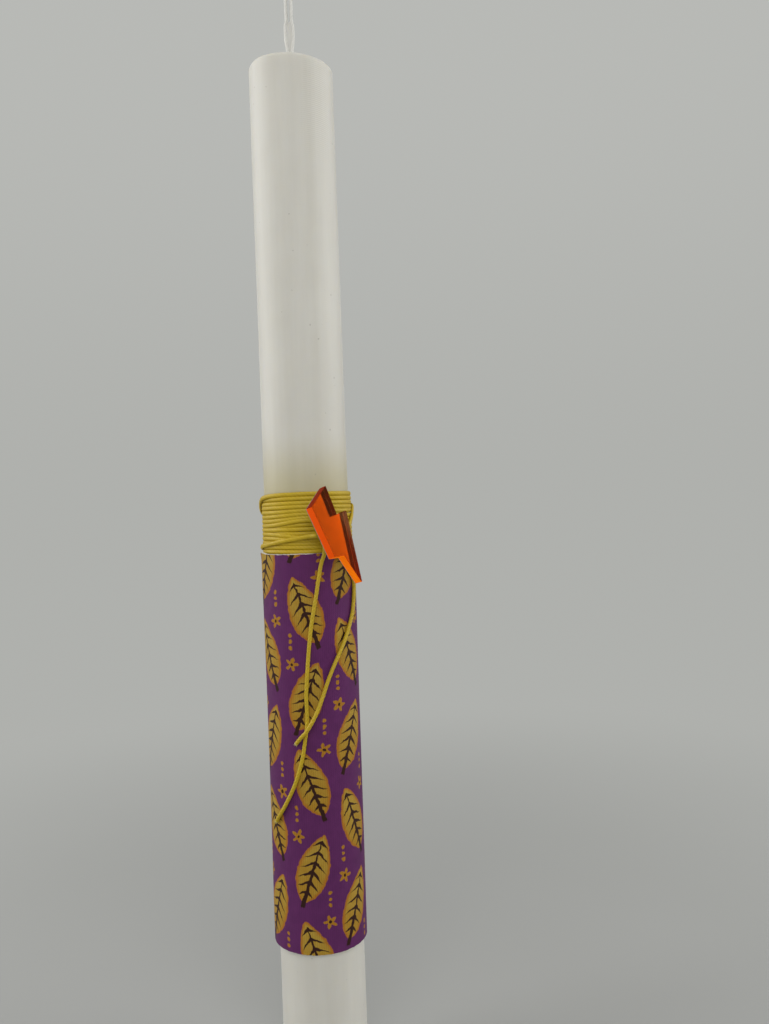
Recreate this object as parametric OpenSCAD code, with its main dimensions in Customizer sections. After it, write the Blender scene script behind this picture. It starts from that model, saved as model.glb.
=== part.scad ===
// A decorated easter candle, standing on its base. Millimetres, +Z up, front towards -Y.
// The origin is the centre of the base. Azimuth is 0 at the front and grows towards +X.

/* [Wax] */
// Diameter of the wax column
wax_d = 25; // [20:0.5:32]
// Height of the wax column
wax_h = 300; // [260:5:400]
// Radius of the rounded shoulder at the top
shoulder_r = 1.5; // [1:0.5:4]
// Chamfer round the base
base_chamfer = 0.6; // [0.2:0.1:1.5]

/* [Wick] */
// Thickness of one strand of the doubled wick
wick_d = 0.9; // [0.8:0.05:1.2]
// Height of the wick above the wax
wick_h = 35; // [30:1:45]
// Half distance between the strands where they stand widest apart
wick_eye = 1.14; // [1:0.02:1.5]
// Height of that place above the wax
wick_eye_h = 11; // [9:0.5:12]
// Half distance between the strands at the neck over it
wick_neck = 0.75; // [0.7:0.05:1]
// Height of the neck above the wax
wick_neck_h = 15; // [14:0.5:19]
// Half width of the loop at the wick's top
wick_loop_half = 0.8; // [0.8:0.05:1.3]
// Height of the loop's arch
wick_loop_rise = 1.5; // [1:0.1:3]

/* [Sleeve] */
// Height of the sleeve's lower edge above the base
sleeve_z = 41; // [30:0.5:50]
// Length of the sleeve
sleeve_len = 114.5; // [90:0.5:125]
// Thickness of the printed sheet
sheet_t = 0.6; // [0.4:0.05:0.8]
// Room between the wax and the sheet at the lower edge
room_low = 0.4; // [0.3:0.05:0.8]
// Room between the wax and the sheet at the upper edge
room_high = 0.9; // [0.5:0.05:1.2]
// Width of the lap at the back, measured round the sleeve
lap_w = 10; // [8:0.5:16]
// Thickness of the double-sided tape in the lap
lap_tape_t = 0.2; // [0.15:0.05:0.3]
// Width of the tape bands between wax and sleeve
band_w = 12; // [8:1:18]

/* [Cord] */
// Thickness of the waxed cord
cord_d = 1.2; // [1:0.05:1.4]
// Thickness that the tight turns are pressed to
wound_t = 0.85; // [0.7:0.05:1]
// Number of turns in the winding
turns = 14; // [12:1:14]
// Height that one turn takes up
turn_pitch = 1.25; // [1.2:0.01:1.28]
// Azimuth of the knot
knot_az = 25; // [20:1:30]
// Height of the knot above the sleeve's upper edge
knot_up = 5; // [4:0.25:6.5]
// Wraps in the knot
knot_wraps = 3; // [2:1:3]

/* [Charm] */
// Thickness of the acrylic plate
charm_t = 3; // [2:0.25:4]
// Scale of the bolt outline
charm_scale = 1; // [0.8:0.05:1.1]
// Rounding of the bolt's corners
charm_corner_r = 0.2; // [0.1:0.05:0.6]
// Azimuth that the charm's face looks to
charm_face_az = 37; // [27:1:40]
// Angle at which the charm's face looks up
charm_face_up = 11; // [0:1:12]
// Lean of the bolt's long axis to the left
charm_lean = 22; // [0:1:30]
// Radius of the dab of glue behind the charm
glue_r = 2; // [1.5:0.1:2.4]
// Thickness of the dab of glue
glue_t = 0.8; // [0.6:0.1:1.5]
// Thickness of the mirror film on the charm's back
film_t = 0.2; // [0.15:0.05:0.3]

/* [Clearances] */
// Gap at faces that are bonded or bound together
bond_gap = 0.05; // [0.02:0.01:0.08]
// Gap at faces that turn past each other
turn_gap = 0.15; // [0.1:0.05:0.25]

/* [Hidden] */
$fn = 64;
wax_r = wax_d / 2;
cord_r = cord_d / 2;

// Wick, with the two strands side by side in the wax
strand_r = wick_d / 2;
strand_near = strand_r + bond_gap;
bore_r = strand_near + strand_r + bond_gap;
wick_low = 2;
bore_low = wick_low - bond_gap;
straight_top = 1;
loop_base = wick_h - strand_r - wick_loop_rise;
loop_leg = 4;
function eye_share(s) = strand_near + (wick_eye - strand_near) * s;

// Route of a strand over the wax: half distance between the strands, and height
wick_route = [
  [strand_near, 0], [eye_share(0.06), 0.24 * wick_eye_h], [eye_share(0.32), 0.54 * wick_eye_h],
  [eye_share(0.83), 0.76 * wick_eye_h], [wick_eye, wick_eye_h],
  [wick_neck + 0.8 * (wick_eye - wick_neck), wick_eye_h + 0.6 * (wick_neck_h - wick_eye_h)],
  [wick_neck, wick_neck_h], [wick_loop_half, wick_neck_h + loop_leg], [wick_loop_half, loop_base]];

// Sleeve, a shallow cone that widens upward
sleeve_top = sleeve_z + sleeve_len;
sheet_in_low = wax_r + room_low;
sheet_in_high = wax_r + room_high;
sheet_out_low = sheet_in_low + sheet_t;
sheet_out_high = sheet_in_high + sheet_t;
lap_deg = lap_w / sheet_out_low * 180 / PI;
lap_root_deg = 4;
lap_edge_deg = 1;
lap_inset = 0.5;
lap_start = 90 - lap_deg / 2;
band_margin = 6;
function sheet_in(z) = sheet_in_low + (sheet_in_high - sheet_in_low) * (z - sleeve_z) / sleeve_len;
function sheet_out(z) = sheet_in(z) + sheet_t;

// Winding
winding_z = sleeve_top + bond_gap;
winding_h = turns * turn_pitch;
winding_r = wax_r + bond_gap + wound_t;
scallop_r = wound_t / 2;
scallop_steps = 6;
scallop_deg = 150;
function scallop_angle(k) = scallop_deg * (k / (scallop_steps - 1) - 0.5);

// Radius over a turn that isn't pressed, which the knot and the free ends clear
loose_turn_r = wax_r + bond_gap + cord_d;

// Knot and the straight strand through it
knot_bore_r = cord_r + turn_gap;
knot_r = knot_bore_r + cord_d;
knot_w = knot_wraps * cord_d;
knot_axis_r = loose_turn_r + knot_r + 2 * turn_gap;
knot_z = sleeve_top + knot_up;
knot_strand_over = 0.8;
knot_strand_len = knot_w + 2 * knot_strand_over;
knot_strand_deg = atan(knot_strand_len / 2 / knot_axis_r);
tie_end_az = knot_az - knot_strand_deg;
over_end_az = knot_az + knot_strand_deg - 360;

// Heights over the knot's axis, along the way that the charm faces
face_yaw = charm_face_az - knot_az;
glue_s = knot_r * cos(face_yaw) + knot_w / 2 * abs(sin(face_yaw)) + turn_gap;
film_s = glue_s + glue_t;
plate_s = film_s + film_t;

// Bolt outline, from the place that is glued, with the long axis upright
bolt = [[-0.85, -16.25], [5.3, 4.1], [1.8, 4.4], [2.7, 13], [-4.7, 9.5], [-5.3, -5.8], [-2.3, -6.8]];

// Where the free ends leave the knot
tail_start = knot_up - knot_r - cord_r;
cord_rest = cord_r + bond_gap;
knot_lift = (knot_axis_r - loose_turn_r - cord_rest) / cord_d;
strand_lift = (knot_axis_r - winding_r - cord_rest) / cord_d;

// Routes of the free ends: azimuth, height from the sleeve's upper edge,
// lift over lying flat in thicknesses of the cord
tail_long_route = [
  [knot_az - 3, tail_start, knot_lift], [knot_az - 2.5, 1, 0.7], [22, -0.6, 0.45],
  [18, -4, 0], [12, -12, 0], [5, -21, 0], [0.5, -30, 0], [-3, -40, 0], [-3, -47.5, 0],
  [-7, -54, 0], [-11, -59, 0], [-21, -66, 0], [-36, -72.5, 0], [-52, -77.5, 0]];
tail_short_route = [
  [knot_az + 4, tail_start, knot_lift], [34, 1.4, 0.88], [43, -0.4, 0.5], [55, -3.5, 0.05],
  [64, -7, 0], [68, -10, 0], [64, -16.5, 0], [56, -21, 0], [45, -26, 0], [32, -31.5, 0],
  [23, -36, 0], [15, -41, 0.2], [6, -46, 0.88], [-3, -50, 1.09], [-10, -52, 0.7], [-17, -54, 0]];

// Routes of the strands over the winding: azimuth, share of the winding's height, lift as above
tie_route = [
  [-84, 0.05, 0], [-70, 0.09, 0], [-50, 0.155, 0], [-30, 0.2, 0], [-10, 0.24, 0.05],
  [tie_end_az - 11.8, 0.27, 0.38 * strand_lift], [tie_end_az - 6.5, 0.28, 0.68 * strand_lift]];
over_route = [
  [-46, 0.95, 0], [-64, 0.925, 0], [-78, 0.855, 0], [-90, 0.745, 0], [-104, 0.665, 0],
  [-130, 0.64, 0], [-160, 0.665, 0], [-190, 0.71, 0], [-220, 0.755, 0], [-245, 0.775, 0],
  [-262, 0.755, 0], [-272, 0.685, 0], [-282, 0.57, 0.08], [-296, 0.41, 0.25],
  [over_end_az + 17.8, 0.32, 0.48 * strand_lift], [over_end_az + 9.8, 0.29, 0.77 * strand_lift]];
strand_joint_gap = 0.03;
strand_straight = 0.75 * cord_d;

// Sweeps
function unit(v) = v / norm(v);
function polar(az, r, z) = [r * sin(az), -r * cos(az), z];
function spline(a, b, c, d, t) =
  0.5 * (2 * b + (c - a) * t + (2 * a - 5 * b + 4 * c - d) * t * t + (3 * b - a - 3 * c + d) * t * t * t);
function at(p, i) = p[max(0, min(len(p) - 1, i))];
function smooth(p, n) = concat(
  [for (i = [0 : len(p) - 2]) for (k = [0 : n - 1])
    spline(at(p, i - 1), p[i], p[i + 1], at(p, i + 2), k / n)],
  [p[len(p) - 1]]);
function heading(p, i) = unit(at(p, i + 1) - at(p, i - 1));
function across(v, t) = unit(v - (v * t) * t);
function ring(p, i, side, r, n) =
  let (t = heading(p, i), u = across(side[i], t), w = cross(t, u))
  [for (k = [0 : n - 1]) p[i] + r * (cos(360 * k / n) * u + sin(360 * k / n) * w)];
function radial(p) = [for (q = p) unit([q[0], q[1], 0])];

module tube(p, side, r, n = 8) {
  last = len(p) - 1;
  polyhedron(
    points = [for (i = [0 : last]) each ring(p, i, side, r, n)],
    faces = concat(
      [[for (k = [0 : n - 1]) k]],
      [for (i = [0 : last - 1]) for (k = [0 : n - 1]) each [
        [i * n + k, (i + 1) * n + k, i * n + (k + 1) % n],
        [i * n + (k + 1) % n, (i + 1) * n + k, (i + 1) * n + (k + 1) % n]]],
      [[for (k = [n - 1 : -1 : 0]) last * n + k]]),
    convexity = 10);
}

// Points of a free end, over the sheet below the sleeve's edge and over the winding above it
tail_steps = 4;
function lifted(r, lift) = r + cord_rest + max(0, lift) * cord_d;
function tail_ground(dz) = dz > 0 ? loose_turn_r : sheet_out(sleeve_top + dz);
function tail_points(route) =
  [for (q = smooth(route, tail_steps)) polar(q[0], lifted(tail_ground(q[1]), q[2]), sleeve_top + q[1])];

// Points of a strand that lies on the winding
wound_steps = 3;
function wound_points(route) =
  [for (q = smooth(route, wound_steps))
    polar(q[0], lifted(winding_r, q[2]), winding_z + q[1] * winding_h)];

// End of the straight strand through the knot, with the side it is on
function strand_end(side) =
  [for (d = [strand_straight, strand_joint_gap]) polar(knot_az, knot_axis_r, knot_z)
    + side * (knot_strand_len / 2 + d) * [cos(knot_az), sin(knot_az), 0]];

// Line of the wick, up one strand, over the loop and down the other
wick_leg_steps = 3;
loop_steps = 8;
function wick_leg(side) = concat(
  [for (z = [wick_low, wax_h - straight_top]) [side * strand_near, 0, z]],
  [for (q = smooth(wick_route, wick_leg_steps)) [side * q[0], 0, wax_h + q[1]]]);
wick_up = wick_leg(-1);
wick_down = wick_leg(1);
wick_over = [for (k = [1 : loop_steps - 1])
  let (a = 180 * k / loop_steps)
  [-cos(a) * wick_loop_half, 0, wax_h + loop_base + sin(a) * wick_loop_rise]];
wick_path = concat(
  wick_up, wick_over, [for (k = [len(wick_down) - 1 : -1 : 0]) wick_down[k]]);

// Column of white wax with a bore for the wick
module wax_body() {
  color([0.93, 0.92, 0.88])
    rotate_extrude($fn = 96) {
      polygon([[0, 0], [wax_r - base_chamfer, 0], [wax_r, base_chamfer],
        [wax_r, wax_h - shoulder_r], [wax_r - shoulder_r, wax_h - shoulder_r],
        [wax_r - shoulder_r, wax_h], [bore_r, wax_h], [bore_r, bore_low], [0, bore_low]]);
      translate([wax_r - shoulder_r, wax_h - shoulder_r])
        intersection() {
          circle(shoulder_r, $fn = 48);
          square(shoulder_r);
        }
    }
}

// Doubled wick, one length with its loop at the top
module wick() {
  color([0.9, 0.88, 0.8]) tube(wick_path, [for (q = wick_path) [0, 1, 0]], strand_r);
}

// Printed sheet rolled into a sleeve, lapped over itself at the back
module printed_sleeve() {
  color([0.36, 0.2, 0.42]) {
    rotate_extrude($fn = 96)
      polygon([[sheet_in_low, sleeve_z], [sheet_out_low, sleeve_z],
        [sheet_out_high, sleeve_top], [sheet_in_high, sleeve_top]]);
    lap_sector(lap_start, lap_deg, lap_tape_t, lap_tape_t + sheet_t, lap_inset);
    lap_sector(lap_start + lap_deg - lap_root_deg - lap_edge_deg, lap_root_deg,
      -sheet_t / 2, lap_tape_t + sheet_t / 2, 2 * lap_inset);
  }
}

// Part of a shell over the sleeve, between two heights over its outer face
module lap_sector(start, sweep, low, high, inset) {
  z0 = sleeve_z + inset;
  z1 = sleeve_top - inset;
  rotate([0, 0, start])
    rotate_extrude(angle = sweep, $fn = 96)
      polygon([[sheet_out(z0) + low, z0], [sheet_out(z0) + high, z0],
        [sheet_out(z1) + high, z1], [sheet_out(z1) + low, z1]]);
}

// Double-sided tape that closes the lap
module lap_tape() {
  color([0.85, 0.83, 0.75])
    lap_sector(lap_start, lap_deg - lap_root_deg - 2 * lap_edge_deg,
      bond_gap / 2, lap_tape_t - bond_gap / 2, 2 * lap_inset);
}

// Band of double-sided tape between the wax and the sleeve
module tape_band(z) {
  color([0.85, 0.83, 0.75])
    rotate_extrude($fn = 96)
      polygon([[wax_r + bond_gap, z], [sheet_in(z) - bond_gap, z],
        [sheet_in(z + band_w) - bond_gap, z + band_w], [wax_r + bond_gap, z + band_w]]);
}

module lower_band() { tape_band(sleeve_z + band_margin); }

module upper_band() { tape_band(sleeve_top - band_margin - band_w); }

// Wound cord, side by side turns in one layer
module cord_winding() {
  color([0.78, 0.66, 0.18])
    rotate_extrude($fn = 96)
      polygon(concat(
        [[wax_r + bond_gap, winding_z]],
        [for (i = [0 : turns - 1]) for (k = [0 : scallop_steps - 1])
          let (a = scallop_angle(k), z = winding_z + (i + 0.5) * turn_pitch)
          [winding_r - scallop_r + scallop_r * cos(a), z + turn_pitch / 2 * sin(a)]],
        [[wax_r + bond_gap, winding_z + winding_h]]));
}

// Strand that comes up from the foot of the winding to the knot
module tie_strand() {
  p = concat(wound_points(tie_route), strand_end(-1));
  color([0.8, 0.68, 0.2]) tube(p, radial(p), cord_r);
}

// Strand that leaves the top turn, goes round the back over the winding and comes to the knot
module over_strand() {
  p = concat(wound_points(over_route), strand_end(1));
  color([0.8, 0.68, 0.2]) tube(p, radial(p), cord_r);
}

module at_knot() {
  rotate([0, 0, knot_az]) translate([0, -knot_axis_r, knot_z]) rotate([0, 90, 0]) children();
}

// Straight strand that the knot is tied on
module knot_strand() {
  color([0.8, 0.68, 0.2])
    at_knot() cylinder(r = cord_r, h = knot_strand_len, center = true, $fn = 32);
}

// Knot of the cord, wraps side by side round the straight strand
module knot() {
  color([0.76, 0.64, 0.16])
    at_knot()
      rotate_extrude($fn = 48)
        polygon(concat(
          [[knot_bore_r, -knot_w / 2]],
          [for (i = [0 : knot_wraps - 1]) for (k = [0 : scallop_steps - 1])
            let (a = scallop_angle(k), x = (i + 0.5) * cord_d - knot_w / 2)
            [knot_r - cord_r + cord_r * cos(a), x + cord_r * sin(a)]],
          [[knot_bore_r, knot_w / 2]]));
}

// Long free end of the cord, lying down the front of the sleeve
module tail_long() {
  p = tail_points(tail_long_route);
  color([0.8, 0.68, 0.2]) tube(p, radial(p), cord_r);
}

// Short free end of the cord, round the right side and over the long one
module tail_short() {
  p = tail_points(tail_short_route);
  color([0.8, 0.68, 0.2]) tube(p, radial(p), cord_r);
}

// Frame of the charm: origin on the knot's axis, Z the way that the face looks
module at_charm() {
  rotate([0, 0, knot_az]) translate([0, -knot_axis_r, knot_z])
    rotate([0, 0, face_yaw]) rotate([90 - charm_face_up, 0, 0]) rotate([0, 0, charm_lean])
      children();
}

module bolt_outline() {
  offset(r = charm_corner_r, $fn = 24) offset(delta = -charm_corner_r) scale(charm_scale) polygon(bolt);
}

// Dab of glue that holds the charm to the knot
module glue_dab() {
  color([0.9, 0.88, 0.8])
    at_charm() translate([0, 0, glue_s]) cylinder(r = glue_r, h = glue_t, $fn = 48);
}

// Mirror film on the back of the charm
module charm_film() {
  color([0.7, 0.7, 0.7])
    at_charm() translate([0, 0, film_s]) linear_extrude(film_t) bolt_outline();
}

// Lightning bolt of clear orange acrylic
module charm() {
  color([0.85, 0.32, 0.04])
    at_charm() translate([0, 0, plate_s]) linear_extrude(charm_t) bolt_outline();
}

wax_body();
wick();
printed_sleeve();
lap_tape();
lower_band();
upper_band();
cord_winding();
tie_strand();
over_strand();
knot_strand();
knot();
tail_long();
tail_short();
glue_dab();
charm_film();
charm();
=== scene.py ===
"""Looks of a decorated easter candle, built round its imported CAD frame.

Sizes are in millimetres and become metres when a mesh is made. The front looks towards -Y.
Azimuth is 0 at the front and grows towards +X.
"""

import logging
import math
from dataclasses import dataclass
from enum import Enum
from typing import Sequence, Union

import bpy
import numpy as np
from mathutils import Matrix, Vector, noise


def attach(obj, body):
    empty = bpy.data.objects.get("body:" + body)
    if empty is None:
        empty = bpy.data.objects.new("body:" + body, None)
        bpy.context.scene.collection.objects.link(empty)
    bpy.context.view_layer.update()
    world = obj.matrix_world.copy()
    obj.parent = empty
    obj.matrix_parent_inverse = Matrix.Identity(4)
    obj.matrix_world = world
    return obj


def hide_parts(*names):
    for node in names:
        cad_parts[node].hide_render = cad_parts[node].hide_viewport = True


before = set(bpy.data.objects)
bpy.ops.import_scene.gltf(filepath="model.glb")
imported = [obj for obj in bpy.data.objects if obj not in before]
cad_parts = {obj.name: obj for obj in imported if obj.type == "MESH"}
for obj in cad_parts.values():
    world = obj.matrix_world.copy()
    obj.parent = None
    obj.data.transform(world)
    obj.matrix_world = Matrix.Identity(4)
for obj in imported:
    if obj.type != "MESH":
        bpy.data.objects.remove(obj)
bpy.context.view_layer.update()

LOG = logging.getLogger("candle")
MM = 0.001
Colour = tuple[float, float, float]
Point = tuple[float, float, float]
Socket = bpy.types.NodeSocket
Shade = Union[Colour, Socket]


class Body(Enum):
    """Bodies of the frame that a piece can ride on."""

    CANDLE = "candle"
    KNOT = "knot"
    CHARM = "charm"


class Slot(Enum):
    """Names of the finishes."""

    WAX = "wax"
    WICK = "wick"
    PRINT = "print"
    TAPE = "tape"
    CORD = "cord"
    GLUE = "glue"
    MIRROR = "mirror"
    ACRYLIC = "acrylic"


@dataclass(frozen=True)
class Sizes:
    """Sizes that several pieces share, the same as in the CAD source."""

    wax_r: float = 12.5
    wax_h: float = 300.0
    sleeve_low: float = 41.0
    sleeve_top: float = 155.5
    sheet_in_low: float = 12.9
    sheet_in_high: float = 13.4
    sheet_t: float = 0.6
    cord_d: float = 1.2
    winding_low: float = 155.55
    winding_h: float = 17.5
    wound_t: float = 0.85
    winding_r: float = 13.4
    loose_turn_r: float = 13.75
    bond_gap: float = 0.05
    knot_az: float = 25.0
    knot_z: float = 160.5
    knot_axis_r: float = 16.0
    knot_r: float = 1.95
    knot_w: float = 3.6
    knot_strand_half: float = 2.6

    @property
    def cord_r(self) -> float:
        """Half the cord's thickness."""
        return self.cord_d / 2

    @property
    def cord_rest(self) -> float:
        """Height of the cord's axis over what it lies on."""
        return self.cord_r + self.bond_gap

    def sheet_in(self, z: float) -> float:
        """Inner radius of the sleeve at a height."""
        share = (z - self.sleeve_low) / (self.sleeve_top - self.sleeve_low)
        return self.sheet_in_low + (self.sheet_in_high - self.sheet_in_low) * share

    def sheet_out(self, z: float) -> float:
        """Outer radius of the sleeve at a height."""
        return self.sheet_in(z) + self.sheet_t


SIZES = Sizes()


def polar(az: float, r: float, z: float) -> np.ndarray:
    """Point at an azimuth in degrees, a radius and a height, in millimetres."""
    a = math.radians(az)
    return np.array([r * math.sin(a), -r * math.cos(a), z])


def rotation(deg: float, axis: str) -> Matrix:
    """Rotation by degrees about an axis."""
    return Matrix.Rotation(math.radians(deg), 4, axis)


def wobble(x: float, y: float, z: float, seed: float = 0.0) -> float:
    """Smooth noise from about -1 to 1 at a point."""
    return noise.noise(Vector((x + 13.7 * seed, y - 7.1 * seed, z + 3.3 * seed)))


def bell(x: float, middle: float, spread: float) -> float:
    """Smooth hump of height 1 round a middle value."""
    return math.exp(-(((x - middle) / spread) ** 2))


def ease(low: float, high: float, x: float) -> float:
    """Smooth step from 0 at low to 1 at high."""
    t = min(1.0, max(0.0, (x - low) / (high - low)))
    return t * t * (3 - 2 * t)


def catmull(points: Sequence[Sequence[float]], steps: int) -> list[np.ndarray]:
    """Smooths a route with a Catmull-Rom spline, as the CAD source does.

    Args:
        points: The route's points.
        steps: How many points each stretch becomes.

    Returns:
        The points of the smooth route.
    """
    p = [np.array(q, float) for q in points]
    last = len(p) - 1
    out = []
    for i in range(last):
        a, b, c, d = p[max(0, i - 1)], p[i], p[i + 1], p[min(last, i + 2)]
        for k in range(steps):
            t = k / steps
            out.append(0.5 * (2 * b + (c - a) * t + (2 * a - 5 * b + 4 * c - d) * t**2
                              + (3 * b - a - 3 * c + d) * t**3))
    return out + [p[last]]


def monotone(xs: Sequence[float], ys: Sequence[float], at: np.ndarray) -> np.ndarray:
    """Interpolates without overshoot.

    Args:
        xs: Growing places.
        ys: Values there.
        at: Places to read.

    Returns:
        The values at those places.
    """
    x, y = np.array(xs, float), np.array(ys, float)
    h, d = np.diff(x), np.diff(y) / np.diff(x)
    m = np.zeros(len(x))
    same = d[:-1] * d[1:] > 0
    w1, w2 = 2 * h[1:] + h[:-1], h[1:] + 2 * h[:-1]
    with np.errstate(divide="ignore", invalid="ignore"):
        m[1:-1] = np.where(same, (w1 + w2) / (w1 / d[:-1] + w2 / d[1:]), 0.0)
    m[0], m[-1] = d[0], d[-1]
    i = np.clip(np.searchsorted(x, at) - 1, 0, len(x) - 2)
    t = (at - x[i]) / h[i]
    return (y[i] * (1 + 2 * t) * (1 - t) ** 2 + h[i] * m[i] * t * (1 - t) ** 2
            + y[i + 1] * t * t * (3 - 2 * t) + h[i] * m[i + 1] * t * t * (t - 1))


def new_piece(name: str, verts: Sequence[Sequence[float]], faces: Sequence[Sequence[int]],
              sharp_deg: float = 40.0) -> bpy.types.Object:
    """Makes a smooth mesh piece from points in millimetres.

    Args:
        name: The piece's name.
        verts: Its points.
        faces: Its faces, as indices of points.
        sharp_deg: Edges that turn more than this stay sharp.

    Returns:
        The new object, at the origin.
    """
    mesh = bpy.data.meshes.new(name)
    mesh.from_pydata([tuple(float(c) * MM for c in v) for v in verts], [], faces)
    mesh.validate()
    return show(name, mesh, sharp_deg)


def show(name: str, mesh: bpy.types.Mesh, sharp_deg: float = 40.0) -> bpy.types.Object:
    """Puts a mesh in the scene as an object, smooth apart from its sharp edges.

    Args:
        name: The object's name.
        mesh: The mesh.
        sharp_deg: Edges that turn more than this stay sharp.

    Returns:
        The new object, at the origin.
    """
    mesh.shade_smooth()
    mesh.set_sharp_from_angle(angle=math.radians(sharp_deg))
    obj = bpy.data.objects.new(name, mesh)
    bpy.context.scene.collection.objects.link(obj)
    return obj


def mark(mesh: bpy.types.Mesh, name: str, domain: str, values: Sequence[float]) -> None:
    """Stores a number on each face or face corner of a mesh, for its material."""
    mesh.attributes.new(name, "FLOAT", domain).data.foreach_set("value", np.array(values, np.float32))


def settle(piece: bpy.types.Object, body: Body, slot: Slot, *nodes: str) -> bpy.types.Object:
    """Ties a finished piece to the frame.

    Args:
        piece: The piece.
        body: The body that it rides on.
        slot: Not used.
        nodes: The CAD nodes that it stands for.

    Returns:
        The same piece.
    """
    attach(piece, body.value)
    if nodes:
        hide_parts(*nodes)
    stands_for = ", ".join(nodes) or "no node"
    LOG.info("%s: %d faces, stands for %s", piece.name, len(piece.data.polygons), stands_for)
    return piece


def grid_faces(rows: int, columns: int, closed: bool, first: int = 0) -> list[tuple[int, ...]]:
    """Quads between rows of points.

    Args:
        rows: How many rows.
        columns: How many points are in a row.
        closed: Whether each row's last point joins its first.
        first: Index of the first point.

    Returns:
        The quads, facing outwards where rows rise and points run with the azimuth.
    """
    faces = []
    for i in range(rows - 1):
        for k in range(columns if closed else columns - 1):
            a, b = first + i * columns + k, first + i * columns + (k + 1) % columns
            faces.append((a, b, b + columns, a + columns))
    return faces


def end_faces(total: int, count: int) -> list[tuple[int, ...]]:
    """Faces that close the first and the last ring of a grid, facing outwards."""
    return [tuple(range(count))[::-1], tuple(range(total - count, total))]


class Tree:
    """A node tree of any kind, with short ways to add to it."""

    def __init__(self, tree: bpy.types.NodeTree) -> None:
        """Keeps the tree."""
        self.tree = tree

    def node(self, kind: str, **settings: object) -> bpy.types.Node:
        """Adds a node.

        Args:
            kind: The node's type.
            settings: Its properties.

        Returns:
            The node.
        """
        made = self.tree.nodes.new(kind)
        for key, value in settings.items():
            setattr(made, key, value)
        return made

    def feed(self, socket: Socket, value: object) -> None:
        """Links a value to an input, or sets the input to a constant.

        Args:
            socket: The input.
            value: A number of the tree, an output to link, a colour or another constant.
        """
        if isinstance(value, Val):
            value = value.socket
        if isinstance(value, bpy.types.NodeSocket):
            self.tree.links.new(value, socket)
        elif isinstance(value, tuple) and len(value) == 3 and socket.type == "RGBA":
            socket.default_value = (*value, 1.0)
        else:
            socket.default_value = value

    def reckon(self, operation: str, *values: object) -> Socket:
        """Adds a Math node.

        Args:
            operation: What it works out.
            values: Its inputs.

        Returns:
            Its output.
        """
        made = self.node("ShaderNodeMath", operation=operation)
        for socket, value in zip(made.inputs, values):
            self.feed(socket, value)
        return made.outputs[0]


class Val:
    """A number in a shader tree, with the usual arithmetic."""

    def __init__(self, graph: "Graph", socket: Socket) -> None:
        """Keeps the socket that gives the number."""
        self.graph = graph
        self.socket = socket

    def __add__(self, other: "Number") -> "Val":
        """Sum."""
        return self.graph.math("ADD", self, other)

    def __sub__(self, other: "Number") -> "Val":
        """Difference."""
        return self.graph.math("SUBTRACT", self, other)

    def __rsub__(self, other: "Number") -> "Val":
        """Difference from a plain number."""
        return self.graph.math("SUBTRACT", other, self)

    def __mul__(self, other: "Number") -> "Val":
        """Product."""
        return self.graph.math("MULTIPLY", self, other)

    def __truediv__(self, other: "Number") -> "Val":
        """Quotient."""
        return self.graph.math("DIVIDE", self, other)

    __radd__ = __add__
    __rmul__ = __mul__


Number = Union[float, Val]


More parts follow.
